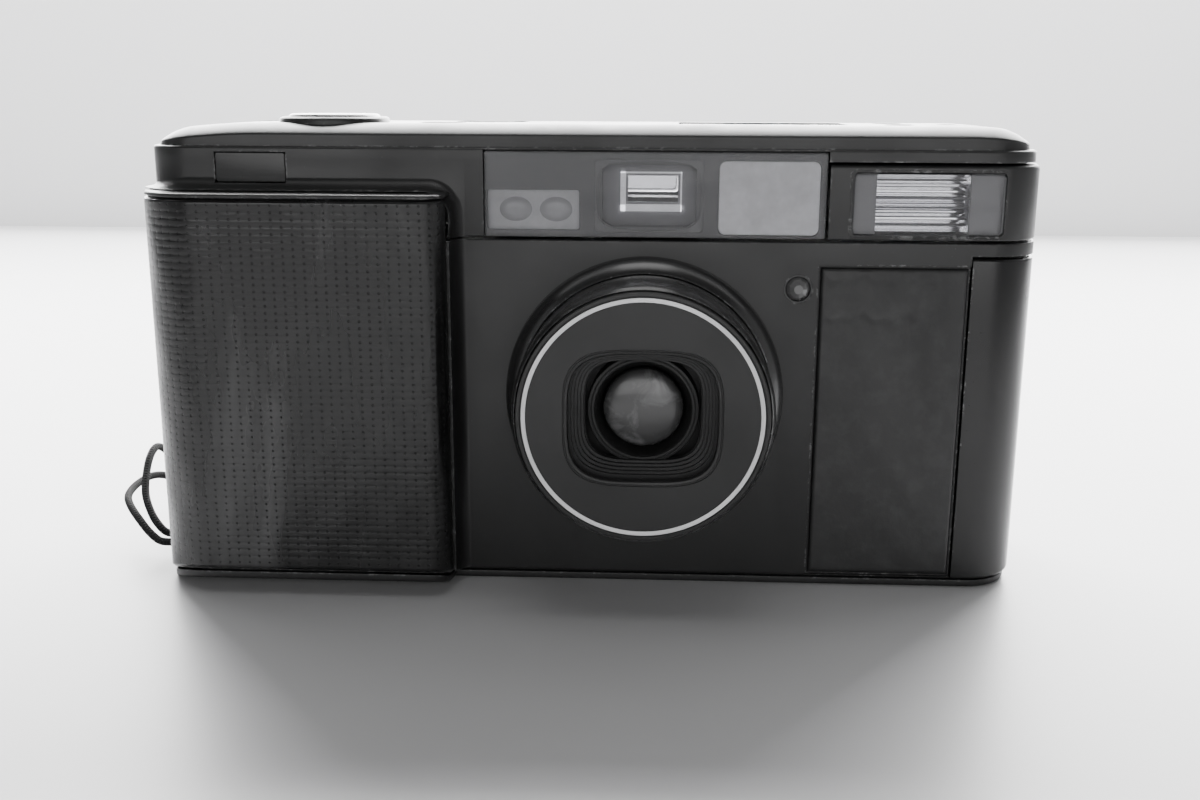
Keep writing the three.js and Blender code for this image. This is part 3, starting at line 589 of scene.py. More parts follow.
def studio():
    """A pale room without a ceiling, lit through a large window behind the object."""
    surfaces = [
        box(-ROOM_X, ROOM_X, ROOM_FRONT, ROOM_BACK, -0.5, 0),
        box(-ROOM_X, ROOM_X, ROOM_BACK, ROOM_BACK + BOARD_THICK, 0, ROOM_HIGH),
        box(-ROOM_X, ROOM_X, ROOM_FRONT - BOARD_THICK, ROOM_FRONT, 0, ROOM_HIGH),
        box(-ROOM_X - BOARD_THICK, -ROOM_X, ROOM_FRONT, ROOM_BACK, 0, ROOM_HIGH),
        box(ROOM_X, ROOM_X + BOARD_THICK, ROOM_FRONT, ROOM_BACK, 0, ROOM_HIGH),
    ]
    n = Nodes("pale_floor")
    n.set(Base_Color=n.mix(n.noise(0.004, 3), grey(0.48), grey(0.53)), Roughness=0.4)
    for surface in surfaces:
        surface.name = "studio_surface"
        surface.data.materials.append(n.material)
    world = bpy.data.worlds.new("soft_room")
    world.use_nodes = True
    background = world.node_tree.nodes["Background"].inputs
    background["Color"].default_value = grey(0.8)
    background["Strength"].default_value = 0.07
    bpy.context.scene.world = world
    area_light("window_behind", (0, 430, 330), (0, 0, 330), (820, 530), 30)
    area_light("wall_wash", (0, 240, 330), (0, 440, 90), (1300, 60), 12)
    area_light("soft_front", (0, -600, 170), (0, 0, 40), (800, 260), 1.3)
    area_light("soft_above", (0, 20, 420), (0, 0, 40), (200, 340), 0.34)
    area_light("ceiling", (0, -10, 560), (0, 0, 40), (1500, 160), 0.55)


# ---------------- surfaces made from grids


def slab(rows, columns, outer, inner, uv=None):
    """A closed sheet between two grids; outer and inner give the point at (0..1, 0..1)."""
    bm = bmesh.new()
    layer = bm.loops.layers.uv.new("UVMap")
    front, rear, place = [], [], {}
    for i in range(rows + 1):
        front.append([])
        rear.append([])
        for j in range(columns + 1):
            u, v = i / rows, j / columns
            for grid, surface in ((front, outer), (rear, inner)):
                vertex = bm.verts.new(point(*surface(u, v)))
                grid[-1].append(vertex)
                place[vertex] = uv(u, v) if uv else (u, v)
    for grid in (front, rear):
        for i in range(rows):
            for j in range(columns):
                bm.faces.new((grid[i][j], grid[i + 1][j], grid[i + 1][j + 1], grid[i][j + 1]))
    rim = [(i, 0) for i in range(rows)] + [(rows, j) for j in range(columns)]
    rim += [(i, columns) for i in range(rows, 0, -1)] + [(0, j) for j in range(columns, 0, -1)]
    for (a, b), (c, d) in zip(rim, rim[1:] + rim[:1]):
        bm.faces.new((front[a][b], front[c][d], rear[c][d], rear[a][b]))
    for face in bm.faces:
        for loop in face.loops:
            loop[layer].uv = place[loop.vert]
    bmesh.ops.recalc_face_normals(bm, faces=bm.faces)
    return as_object(bm)


def ease(value, low, high):
    """0 below low, 1 above high, and a smooth step between."""
    t = min(max((value - low) / (high - low), 0.0), 1.0)
    return t * t * (3 - 2 * t)


# ---------------- covers

BODY_PLAN = rounded(BAND_LEFT, FRONT, RIGHT, BACK, (6, 7, 3, 3), 10, 40)
GRIP_PLAN = rounded(
    GRIP_LEFT, GRIP_FRONT, GRIP_RIGHT, 2, (GRIP_BIG_CORNER, GRIP_CORNER, 0.6, 0.6), 12
)


def hollow(low, high):
    """The space inside the thin body's walls."""
    return raised(lambda inset: BODY_PLAN(WALL + inset), low, high)


def lift(y):
    """How far the underside of the grip rises towards its front edge."""
    return 2.2 * min(max((-y - 14.5) / 6.1, 0.0), 1.0)


def lift_foot(obj, fade=0.0):
    """Raises the underside of the grip; above it the walls take up the change over fade."""
    for vertex in obj.data.vertices:
        z = vertex.co.z / MM - BASE_TOP
        share = 1.0 - min(max(z / fade, 0.0), 1.0) if fade else 1.0
        vertex.co.z += lift(vertex.co.y / MM - MIDDLE) * share * MM
    return obj


def grip_fillet(low, turn):
    """The hollow slope from the thin body up to the grip's side and, if it turns, over its top.
    A station is (foot, outward, sideways, rise, width)."""
    wide, high, edge, top, turns = 1.7, 3.3, GRIP_EDGE, GRIP_RIM, 12
    last_wide, last_high = 0.15, 0.6
    ends = (low, top - GRIP_CORNER if turn else BELT - GAP / 2)
    stations = [((edge, FRONT, z), (0, -1, 0), (1, 0, 0), high, wide) for z in ends]
    if turn:
        for u, w in arc(edge - GRIP_CORNER, top - GRIP_CORNER, GRIP_CORNER, 0, 90, 12)[1:]:
            out = Vector((u - edge + GRIP_CORNER, 0, w - top + GRIP_CORNER)).normalized()
            stations.append(((u, FRONT, w), (0, -1, 0), out, high, wide))
        bend = 6.0
        for i in range(turns + 1):
            share = i / turns
            away = Vector((-sin(radians(90 * share)), -cos(radians(90 * share)), 0))
            base = Vector((BAND_LEFT + bend, FRONT + bend, top)) + away * bend
            rise, reach = high + (last_high - high) * share, wide + (last_wide - wide) * share
            stations.append((base, away, (0, 0, 1), rise, reach))
        stations.append(((BAND_LEFT, 2.1, top), (-1, 0, 0), (0, 0, 1), last_high, last_wide))
    rings = []
    for base, normal, across, rise, reach in stations:
        base, normal, across = Vector(base), Vector(normal), Vector(across)
        section = [(reach, -1.0), (-0.4, -1.0), (-0.4, rise)]
        for i in range(turns + 1):
            t = i / turns
            drop = 1 - sqrt(max(0.0, 1 - (1 - t) ** 2))
            section.append((reach * t, rise * drop - 0.03))
        rings.append([tuple(base + across * r + normal * e) for r, e in section])
    return loft(rings)


def front_cover():
    """The thin body's front with the grip's core, its lip and the band at the left end."""
    cover = raised(BODY_PLAN, BASE_TOP + GAP, BELT - GAP / 2, 0.5, 0.22)
    carve(cover, box(LEFT - 1, -30, -FAR_Y, FAR_Y, 0, FAR_Z))
    grip_core = raised(lambda inset: GRIP_PLAN(RUBBER + 0.1 + inset), BASE_TOP + GAP, GRIP_TOP - 0.3)
    lip = raised(lambda inset: GRIP_PLAN(0.1 + inset), GRIP_TOP - 0.5, GRIP_TOP, 0.12, 0.35)
    band = raised(rounded(BAND_LEFT, 1.9, -50, BAND_BACK, 0.3), BASE_TOP + GAP, DOOR_TOP, 0.3, 0.4)
    join(cover, grip_core, lip, band, grip_fillet(BASE_TOP + GAP + 0.4, False))
    grip_hollow = raised(lambda inset: GRIP_PLAN(RUBBER + 0.7 + inset), -1, GRIP_TOP - 1.2)
    side_hollow = box(GRIP_LEFT + RUBBER + 0.7, -20, 0, 20, -1, FAR_Z)
    carve(cover, hollow(-1, 46.0), grip_hollow, side_hollow)
    lens_hole = disc(17.3, FRONT - 5, FRONT + 5, 128)
    lamp_hole = disc(1.8, FRONT - 1, FRONT + 5, 40, x=LAMP[0], z=LAMP[1])
    beside = box(SIDE_X - SEAM, 70, -FAR_Y, FAR_Y, -1, SIDE_TOP + GAP)
    rear = box(-FAR_X, FAR_X, BAND_BACK, FAR_Y, -1, FAR_Z)
    skin_recess = box(29.9, SIDE_X - SEAM, FRONT - 1, FRONT + 0.6, 1.6, 43.6)
    lug_notch = box(LEFT - 1, LEFT + 2.4, LUG_Y - 0.9, LUG_Y + 0.9, 1.0, 5.9)
    carve(cover, lens_hole, lamp_hole, beside, rear, skin_recess, lug_notch)
    lift_foot(cover, 12.0)
    finish_piece(cover, "front_cover_shell", PAINT, "front_cover")


def brick(s, z, length=2.64, height=0.9):
    """Height, 0 to 1, of a brick-bond pattern of little pillows."""
    row = floor(z / height)
    u = (s / length + 0.5 * (row % 2)) % 1.0
    v = (z / height) % 1.0
    across = 1 - abs(2 * u - 1) ** 8
    up = 1 - abs(2 * v - 1) ** 5
    return max(0.0, across * up)


def grip_path():
    """The grip's plan outline from its left rear edge round to its right edge, as a function of
    the distance along it, with the outward direction."""
    big, small = GRIP_BIG_CORNER, GRIP_CORNER
    rear, right_rear = 1.4, GRIP_FRONT + 3.55
    lengths = [
        rear - (GRIP_FRONT + big),
        big * pi / 2,
        (GRIP_RIGHT - small) - (GRIP_LEFT + big),
        small * pi / 2,
        right_rear - (GRIP_FRONT + small),
    ]
    total = sum(lengths)

    def at(s):
        if s < lengths[0]:
            return (GRIP_LEFT, rear - s), (-1, 0)
        s -= lengths[0]
        if s < lengths[1]:
            a = s / big
            out = (-cos(a), -sin(a))
            return (GRIP_LEFT + big + big * out[0], GRIP_FRONT + big + big * out[1]), out
        s -= lengths[1]
        if s < lengths[2]:
            return (GRIP_LEFT + big + s, GRIP_FRONT), (0, -1)
        s -= lengths[2]
        if s < lengths[3]:
            a = s / small
            out = (sin(a), -cos(a))
            return (GRIP_RIGHT - small + small * out[0], GRIP_FRONT + small + small * out[1]), out
        s -= lengths[3]
        return (GRIP_RIGHT, GRIP_FRONT + small + s), (1, 0)

    return at, total


def grip_rubber():
    at, total = grip_path()
    high = GRIP_TOP - 0.6

    def place(u, v):
        """A point of the grip's outline, its outward direction, its lower rim and its height."""
        (x, y), (nx, ny) = at(u * total)
        low = BASE_TOP + 0.3 + lift(y)
        return x, y, nx, ny, low, low + v * (high - low)

    def surface(u, v, depth=0.0):
        """A point of the rubber, sunk at its edges and between the bricks."""
        s = u * total
        x, y, nx, ny, low, z = place(u, v)
        rim = min(z - low, high - z)
        edge = min(s, total - s)
        sunk = 0.4 * (1 - ease(rim, 0, 0.6)) ** 2 + 0.35 * (1 - ease(edge, 0, 0.5)) ** 2
        textured = ease(rim, 1.2, 2.0) * ease(edge, 0.6, 1.5)
        lumps = 0.04 * sin(0.9 * s + 0.7) * sin(0.55 * z)
        sunk += 0.05 + 0.03 * textured * (1 - brick(s, z)) + lumps + depth
        return x - nx * sunk, y - ny * sunk, z

    def under(u, v):
        return surface(u, v, RUBBER - 0.1)

    def unrolled(u, v):
        return u * total * MM, place(u, v)[5] * MM

    skin = slab(300, 328, surface, under, unrolled)
    carve(skin, box(LEFT - 1, LEFT + 4, LUG_Y - 2.6, LUG_Y + 2.6, 1, 6.5))
    finish_piece(skin, "grip_rubber_skin", GRIP, "grip_rubber", angle=50)


def front_skin():
    """The rubber at the front right, with two shallow creases that run across it."""
    x0, x1, z0, z1 = 30.2, SIDE_X - 0.45, 1.9, 43.3

    def surface(u, v):
        x, z = x0 + (x1 - x0) * u, z0 + (z1 - z0) * v
        rim = min(x - x0, x1 - x, z - z0, z1 - z)
        wave = 0.35 * sin(1.1 * x) + 0.25 * sin(2.3 * x + 1)
        above = [(z - z1 + drop - wave) / 0.55 for drop in (1.3, 6.3)]
        bulge = sum(0.1 * exp(-(part**2)) for part in above)
        bulge *= ease(x, x0 + 0.3, x0 + 1.5) * (1 - ease(x, x1 - 4, x1 - 2.5))
        soft = 0.03 * sin(0.8 * x + 0.4 * z) * sin(0.37 * z + 0.2 * x)
        return x, FRONT - 0.08 - bulge - soft + 0.4 * (1 - ease(rim, 0, 0.45)) ** 2, z

    def under(u, v):
        return x0 + (x1 - x0) * u, FRONT + 0.45, z0 + (z1 - z0) * v

    skin = slab(90, 150, surface, under)
    finish_piece(skin, "front_skin_panel", SKIN, "front_skin", angle=50)


def side_cover():
    cover = raised(BODY_PLAN, BASE_TOP + GAP, SIDE_TOP, 0.5, 0.45)
    inner_side = box(-FAR_X, SIDE_X, -FAR_Y, FAR_Y, -1, FAR_Z)
    rear = box(40, FAR_X, COVER_BACK, FAR_Y, -1, FAR_Z)
    carve(cover, inner_side, rear)
    carve(cover, hollow(-1, 70))
    for low, high in (LOW_KNUCKLE, (HIGH_KNUCKLE, DOOR_TOP)):
        arm = box(HINGE[0] - 1.2, RIGHT - GAP, 8, HINGE[1], low, high)
        join(cover, knuckle(low, high), arm)
    finish_piece(cover, "side_cover_shell", SIDE, "side_cover")


def knuckle(low, high):
    rim = 0.25
    profile = [(0.6, low), (KNUCKLE - rim, low), (KNUCKLE, low + rim)]
    profile += [(KNUCKLE, high - rim), (KNUCKLE - rim, high), (0.6, high)]
    return turned(profile, 40, x=HINGE[0], y=HINGE[1])


def roof_height(x):
    """The roof falls away towards both ends, sooner on the grip's side."""
    if x < 0:
        return TOP - 1.3 * max(0.0, (-x - 42) / 15.4) ** 2
    return TOP - 0.9 * max(0.0, (x - 49) / 8.6) ** 2


def tuck(x, z):
    """Above the flash housing the right end stands a little further in."""
    return x - 0.6 * ease(z, *ROOF_STEP) * ease(x, 46, RIGHT)


def top_cover():
    ridge = 0.35
    walls = levels(BELT + 0.15, RIDGE, 0.22, ridge, 4)
    walls[5:5] = [(level, 0.0) for level in ROOF_STEP]
    rings = [[(u, v, z) for u, v in BODY_PLAN(inset)] for z, inset in walls]
    inset, crown, lean, rim = 0.9, 8.0, 32, 0.35
    rings.append([(u, v, RIDGE) for u, v in BODY_PLAN(inset - 0.1)])
    section = [(rim - p, -rim + q) for p, q in arc(0, 0, rim, 0, 90 - lean, 4)]
    turn_x, turn_z = section[-1]
    foot = crown * sin(radians(lean))
    section = [(p, q - turn_z - crown * (1 - cos(radians(lean)))) for p, q in section]
    for i in range(1, 13):
        a = radians(lean * (1 - i / 12))
        section.append((turn_x + foot - crown * sin(a), crown * (cos(a) - 1)))
    for step, drop in [*section, (8.5, 0), (11, 0), (12.2, 0)]:
        rings.append([(u, v, roof_height(u) + drop) for u, v in BODY_PLAN(inset + step)])
    rings = [[(tuck(x, z), y, z) for x, y, z in ring] for ring in rings]
    cover = loft(rings)
    join(cover, grip_fillet(BELT + 0.15, True), button_ring())
    beyond = rounded(-FAR_X, 30, GRIP_EDGE, GRIP_RIM, (1, 1, GRIP_CORNER, 1), 12)
    grip_space = plate(beyond, -FAR_Y, 2.4)
    carve(cover, grip_space)
    carve(cover, hollow(40, 57.4))
    left_rear = box(-FAR_X, -50, 2, FAR_Y, 40, DOOR_TOP + GAP)
    door_space = box(-FAR_X, FAR_X, COVER_BACK, FAR_Y, 40, DOOR_TOP + GAP)
    carve(cover, left_rear, door_space)
    window_space = box(-13.1, 30.7, -FAR_Y, FRONT + 3, BELT - 1, 57.9)
    flash_space = box(30.6, FAR_X, -FAR_Y, -2.8, 40, 56.6)
    meter_space = box(-47.7, -38.5, -FAR_Y, FRONT + 3, 53.5, 57.4)
    eyepiece_hole = plate(rounded(2.7, 50, 13.1, 56, 1), 5, FAR_Y)
    carve(cover, window_space, flash_space, meter_space, eyepiece_hole)
    well_floor = 58
    wells = [
        disc(radius, well_floor, FAR_Z, 64, x=x, y=y)
        for (x, y), radius in (
            (BUTTON_AT, 6.35),
            (POWER_AT, 3.15),
            (APERTURE_AT, 4.95),
            (EXPOSURE_AT, 5.15),
            (MODE_AT, 2.1),
            (TIMER_AT, 2.1),
        )
    ]
    x0, y0, x1, y1 = DISPLAY
    around = rounded(x0 - 0.25, y0 - 0.25, x1 + 0.25, y1 + 0.25, 1)
    display_well = raised(around, well_floor, FAR_Z)
    switch_well = raised(rounded(46.4, -1.4, 54.6, 1.4, 1.3), well_floor, FAR_Z)
    carve(cover, *wells, display_well, switch_well)
    finish_piece(cover, "top_cover_shell", PAINT, "top_cover")


def button_ring():
    """The low raised ring round the shutter button."""
    profile = [(6.0, -1.5), (7.35, -1.5), (7.3, 0.2), (7.2, 0.5), (6.95, 0.68), (6.6, 0.72)]
    profile += [(6.38, 0.6), (6.35, 0), (6.0, 0)]
    return turned(profile, 96, x=BUTTON_AT[0], y=BUTTON_AT[1], base=TOP)


def base_plate():
    pan, grip_base = (
        raised(lambda inset: plan(0.5 + inset), 0, BASE_TOP, 0.35, 0.1) for plan in (BODY_PLAN, GRIP_PLAN)
    )
    join(pan, grip_base)
    (x0, x1), (y0, y1) = LID_X, LID_Y
    lid_hole = raised(rounded(x0 - GAP, y0 - GAP, x1 + GAP, y1 + GAP, 0.9), -1, 3)
    bush_hole = disc(4.6, -1, 3, 64, x=BUSH_AT[0], y=BUSH_AT[1])
    screw_holes = [disc(1.35, -1, 3, 32, x=x, y=y) for x, y in SCREWS]
    carve(pan, lid_hole, bush_hole, *screw_holes)
    lift_foot(pan)
    finish_piece(pan, "base_plate_pan", PAINT, "base_plate")


def battery_lid():
    """The lid of the battery box, with a coin slot and three finger grooves."""
    (x0, x1), (y0, y1) = LID_X, LID_Y
    lid = raised(rounded(x0, y0, x1, y1, 0.6), 0.1, BASE_TOP, 0.2, 0.1)
    carve(lid, box(x1 - 3.6, x1 - 2.6, -5.4, 0.6, 0, 0.5))
    grooves = [box(x1 - 2.2 + 0.6 * i, x1 - 1.95 + 0.6 * i, -5.4, 0.6, 0, 0.3) for i in range(3)]
    carve(lid, *grooves)
    finish_piece(lid, "battery_lid", PLASTIC, "battery_door", "cell_lid")


def tripod_socket():
    """A brass bush with six grooves for its thread."""
    bush = [(3.1, 0.35), (3.35, 0.1), (4.2, 0.1), (4.4, 0.3), (4.4, 6.5)]
    for i in range(6):
        z = 6.3 - i
        bush += [(3.1, z), (3.35, z - 0.35), (3.1, z - 0.7)]
    piece = turned(bush, 64, x=BUSH_AT[0], y=BUSH_AT[1])
    finish_piece(piece, "tripod_socket", BRASS, "tripod_bush")


def base_screws():
    head = [(0, 0.15), (0.8, 0.18), (1.1, 0.35), (1.1, 0.8), (0.6, 1.0), (0.6, 1.9), (0, 1.9)]
    arms = ((0.75, 0.13), (0.13, 0.75))
    for i, (x, y) in enumerate(SCREWS):
        screw = turned(head, 40, x=x, y=y)
        carve(screw, *(box(x - a, x + a, y - b, y + b, 0, 0.5) for a, b in arms))
        name = f"base_screw_{i + 1}"
        finish_piece(screw, name + "_head", STEEL, name)


# ---------------- windows


def window_bar():
    """The smoky pane over the three windows, and the mask behind it."""
    x0, x1, z0, z1 = -12.95, 30.5, BELT + 0.25, 57.7
    pane = plate(rounded(x0, z0, x1, z1, 0.25, 4), FRONT - 0.1, FRONT + 0.65, 0.15, 0)
    finish_piece(pane, "window_pane", ACRYLIC, "window_bar")

    mask = plate(rounded(x0, z0, x1, z1, 0.2, 4), FRONT + 0.7, FRONT + 1.0)
    openings = ((AF_WINDOW, 0.35), (FINDER_GLASS, 0.6), (FRAME_WINDOW, 0.9))
    carve(mask, *(plate(rounded(*window, radius), -FAR_Y, 0) for window, radius in openings))
    finish_piece(mask, "window_mask", MASK)


def frame_window():
    x0, z0, x1, z1 = FRAME_WINDOW
    outline = rounded(x0 + 0.05, z0 + 0.15, x1 - 0.05, z1 - 0.05, 0.9)
    piece = plate(outline, FRONT + 0.72, FRONT + 2.5, 0.15, 0)
    finish_piece(piece, "frame_window_plate", FROSTED, "frame_illuminator")


def autofocus_windows():
    """A pale tray with two small lenses, seen through the smoky pane."""
    x0, z0, x1, z1 = AF_WINDOW
    tray = plate(rounded(x0 - 0.25, z0 - 0.2, x1 + 0.25, z1 + 0.2, 0.4), -11.7, -11.0, 0.1, 0)
    finish_piece(tray, "af_tray", TRAY)
    profile = [(0, -12.15), (1.0, -12.1), (1.7, -11.95), (2.1, -11.72), (2.1, -11.5), (0, -11.5)]
    middle, flatness = (z0 + z1) / 2, 0.75
    for i, x in enumerate((-9.1, -3.9)):
        bead = turned(profile, 40, x=x, z=middle)
        for vertex in bead.data.vertices:
            vertex.co.z = (vertex.co.z - middle * MM) * flatness + middle * MM
        finish_piece(bead, f"af_lens_{i + 1}", LENSLET)


def finder_front():
    """The finder's front lens and the bezel that holds it."""
    x0, z0, x1, z1 = FINDER_GLASS
    cx, cz = (x0 + x1) / 2, (z0 + z1) / 2
    half_w, half_h = (x1 - x0) / 2 - 0.35, (z1 - z0) / 2 - 0.3

    def outline(share):
        """A rectangle with bulging sides that fills a share of the window."""
        points = []
        for i in range(72):
            c, s = cos(2 * pi * i / 72), sin(2 * pi * i / 72)
            reach = share / (c**4 + s**4) ** 0.25
            points.append((cx + half_w * c * reach, cz + half_h * s * reach))
        return points

    section = [(1.0, -9.4), (1.0, -10.9), (0.97, -11.25), (0.86, -11.6), (0.6, -11.95), (0.3, -12.12)]
    section.append((0.04, -12.15))
    glass = loft([[(x, y, z) for x, z in outline(share)] for share, y in section])
    finish_piece(glass, "finder_lens", GLASS, "finder_objective", angle=60)

    bezel = plate(rounded(x0 - 0.7, z0 - 0.15, x1 + 0.35, z1 + 0.1, 0.7), -12.2, -11.2, 0.1, 0)
    carve(bezel, plate(lambda inset: outline(1.02), -FAR_Y, 0))
    finish_piece(bezel, "finder_bezel", CHEEK)


def bright_lines():
    """The bright-line frame seen through the finder, its bars lit from inside as painted light, and the
    screen behind it.
    """
    x0, z0, x1, z1 = FINDER_GLASS
    bars = (
        ("left", 4.3, 49.9, 5.0, 55.0),
        ("bottom", 4.3, 49.9, 12.3, 50.8),
        ("top", 4.3, 54.8, 12.3, 55.0),
        ("right", 12.1, 49.9, 12.3, 55.0),
    )
    for name, *corners in bars:
        bar = plate(rounded(*corners, 0.08, 4), -9.1, -8.8, 0.05, 0)
        finish_piece(bar, "finder_" + name, GLOWING_BRIGHT_LINE)
    screen = plate(rounded(x0 + 0.4, z0 + 0.3, x1 - 0.4, z1 - 0.3, 0.5), -8.75, -8.45)
    carve(screen, plate(rounded(5.3, 51.1, 11.8, 54.5, 0.1), -FAR_Y, FAR_Y))
    finish_piece(screen, "finder_screen", SCREEN)


def eyepiece():
    rear = plate(rounded(3.9, 51.2, 11.9, 54.8, 0.6), 11.8, 13.2, 0.3, 0.3)
    finish_piece(rear, "finder_rear_lens", GLASS, "finder_eyepiece")
    rim = plate(rounded(2.9, 50.2, 12.9, 55.8, 1), BACK - 1.3, 14.45, 0.2, 0.55)
    carve(rim, plate(rounded(3.6, 50.9, 12.2, 55.1, 0.6), 5, 20))
    finish_piece(rim, "eyepiece_cushion", GRIP_PLAIN, "eyepiece_rim")


def meter_window():
    meter = plate(rounded(-47.63, 53.57, -38.57, 57.33, 0.3), FRONT - 0.02, FRONT + 1, 0.1, 0)
    finish_piece(meter, "meter_window", METER, "light_meter_window")


def self_timer_lamp():
    """A faceted gem in a cup."""
    x, z = LAMP
    gem = [(0, -0.55), (0.6, -0.5), (1.2, -0.15), (1.58, 0.35), (1.58, 1.4), (0, 1.4)]
    lamp = turned(gem, 9, x=x, z=z, base=FRONT)
    finish_piece(lamp, "self_timer_lamp", LAMP_GLASS, "timer_lamp", angle=5)
    profile = [(1.64, 0.1), (1.78, 0.1), (1.78, 2.2), (0, 2.2), (0, 1.6), (1.64, 1.5)]
    cup = turned(profile, 48, x=x, z=z, base=FRONT)
    finish_piece(cup, "lamp_cup", MASK)


# ---------------- flash


def flash_housing():
    x0, z0, x1, z1 = FLASH
    cover = raised(BODY_PLAN, BELT + 0.15, 56.3, 0.22, 0.5)
    beside = box(-FAR_X, 30.9, -FAR_Y, FAR_Y, 40, FAR_Z)
    behind = box(-FAR_X, FAR_X, -3.1, FAR_Y, 40, FAR_Z)
    carve(cover, beside, behind)
    carve(cover, hollow(40, 55.6))
    hole = rounded(x0 - 0.15, z0 - 0.15, x1 + 0.15, z1 + 0.15, 0.6)
    step = rounded(x0 - 0.5, z0 - 0.45, x1 + 0.75, z1 + 0.45, 0.6)
    corner = rounded(x1 - 1, z0 - 0.1, x1 + 1.5, z1 + 0.75, 0.3)
    depths = ((hole, 3), (step, 0.22), (corner, 0.1))
    carve(cover, *(plate(outline, -FAR_Y, FRONT + depth) for outline, depth in depths))
    finish_piece(cover, "flash_housing", PAINT, "flash_cover")

    pane = plate(rounded(x0, z0, x1, z1, 0.6), FRONT - 0.02, FRONT + 0.9, 0.22, 0)
    finish_piece(pane, "flash_pane", FLASH_PANE, "flash_window")


def flash_mirror():
    x0, z0, x1, z1 = FLASH
    left, right, deep = MIRROR_LEFT, MIRROR_RIGHT, 3.7

    def dish(u, v):
        """The mirror: a trough with ribs along it and a slope at each end."""
        x, z = x0 + 0.5 + (x1 - x0 - 1.4) * u, z0 + 0.2 + (z1 - z0 - 0.4) * v
        middle = (z0 + z1) / 2
        bowl = sqrt(max(0.0, 1 - ((z - middle) / 3.75) ** 2))
        ends = min(ease(x, left - 2.4, left), 1 - ease(x, right, right + 3.4))
        ribbed = 0.18 * abs(sin(pi * (z - z0) / 0.76)) * (1 if left < x < right else 0)
        return x, FRONT + 1.55 + deep * bowl * ends - ribbed, z

    def under(u, v):
        x, _, z = dish(u, v)
        return x, -6.5, z

    reflector = slab(76, 120, dish, under)
    finish_piece(reflector, "flash_mirror", CHROME, "flash_reflector", angle=40)


def flash_inside():
    """The two cheeks beside the mirror and the tube in front of it."""
    x0, z0, x1, z1 = FLASH
    for i, (u0, u1) in enumerate(((x0 - 0.1, MIRROR_LEFT), (MIRROR_RIGHT, x1 + 0.1))):
        outline = rounded(u0, z0 - 0.1, u1, z1 + 0.1, 0.2)
        cheek = plate(outline, FRONT + 1.0, FRONT + 1.5, 0.1, 0)
        finish_piece(cheek, f"flash_cheek_{i + 1}", CHEEK)

    middle, length = (z0 + z1) / 2, x1 - x0 - 4.4
    line = [Vector((x0 + 1.8 + length * i / 12, FRONT + 3.1, middle)) for i in range(13)]
    lamp = tube(line, 1.5, 24)
    finish_piece(lamp, "xenon_tube", FLASH_PANE, "flash_tube", angle=60)


# ---------------- lens


def opening(half_w, half_h, y, power=3.6):
    """A ring of points on the four-sided bulging outline of the lens opening; a power of 2 makes
    it round."""
    ring = []
    for i in range(128):
        c, s = cos(2 * pi * i / 128), sin(2 * pi * i / 128)
        x = half_w * copysign(abs(c) ** (2 / power), c)
        z = half_h * copysign(abs(s) ** (2 / power), s)
        ring.append((LENS_X + x, y, LENS_Z + z))
    return ring


def circle(radius, y):
    return opening(radius, radius, y, 2)


def lip(inner, outer, start, low, high):
    """A crowned chamfer from (outer, start) forward to the inner radius, leaning from low to high
    degrees."""
    crown = (outer - inner) / (cos(radians(low)) - cos(radians(high)))
    points = arc(0, 0, crown, low, high, 6)
    u, v = points[0]
    return [(outer + p - u, start - (q - v)) for p, q in points]


def lens_collar():
    collar = [(16.42, 1.7), (17.05, 1.7), (17.05, -0.1), (18.2, -0.1), (18.05, -1.85)]
    collar += [*lip(16.42, 18.02, -1.95, 25, 62), (16.4, -3.2)]
    piece = turned(collar, 160, base=FRONT)
    finish_piece(piece, "lens_collar_ring", COLLAR, "lens_collar", angle=40)


def lens_barrel():
    barrel = [(16.27, -9.8), (16.27, LENS_FRONT + 1.6), *lip(15.78, 16.24, LENS_FRONT + 1.5, 16, 38)]
    barrel.append((15.72, LENS_FRONT + 1.1))
    barrel += [(15.2, LENS_FRONT + 3.0), (15.2, -9.8)]
    piece = turned(barrel, 160)
    finish_piece(piece, "lens_barrel_tube", BARREL, "lens_barrel", "lens_barrel", angle=40)


def lens_face():
    """The front plate with a groove for the white ring and a raised edge round the opening. Each
    list holds (radius or inset, depth behind the lens front)."""
    y = LENS_FRONT
    rim = [(15.6, 1.0), (15.6, 0.15), (15.5, 0.02), (15.1, 0), (15.05, 0.12), (14.95, 0.12)]
    rim += [(14.92, 0.05), (14.38, 0.05), (14.35, 0)]
    edge = [(0, 0), (0.07, 0.14), (0.2, 0.14), (0.27, 0.02), (0.55, 0.08), (0.65, 0.3), (0.65, 1.0)]
    rings = [circle(radius, y + deep) for radius, deep in rim]
    rings += [opening(9.85 - inset, 8.6 - inset, y + deep) for inset, deep in edge]
    piece = loft(rings, closed=True)
    finish_piece(piece, "lens_face", FACE, "lens_front_plate", "lens_barrel", angle=40)

    white = [(14.38, 0.2), (14.38, -0.01), (14.46, -0.04), (14.82, -0.04), (14.9, -0.01), (14.9, 0.2)]
    piece = turned(white, 160, base=LENS_FRONT)
    finish_piece(piece, "white_ring", WHITE, body="lens_barrel", angle=40)


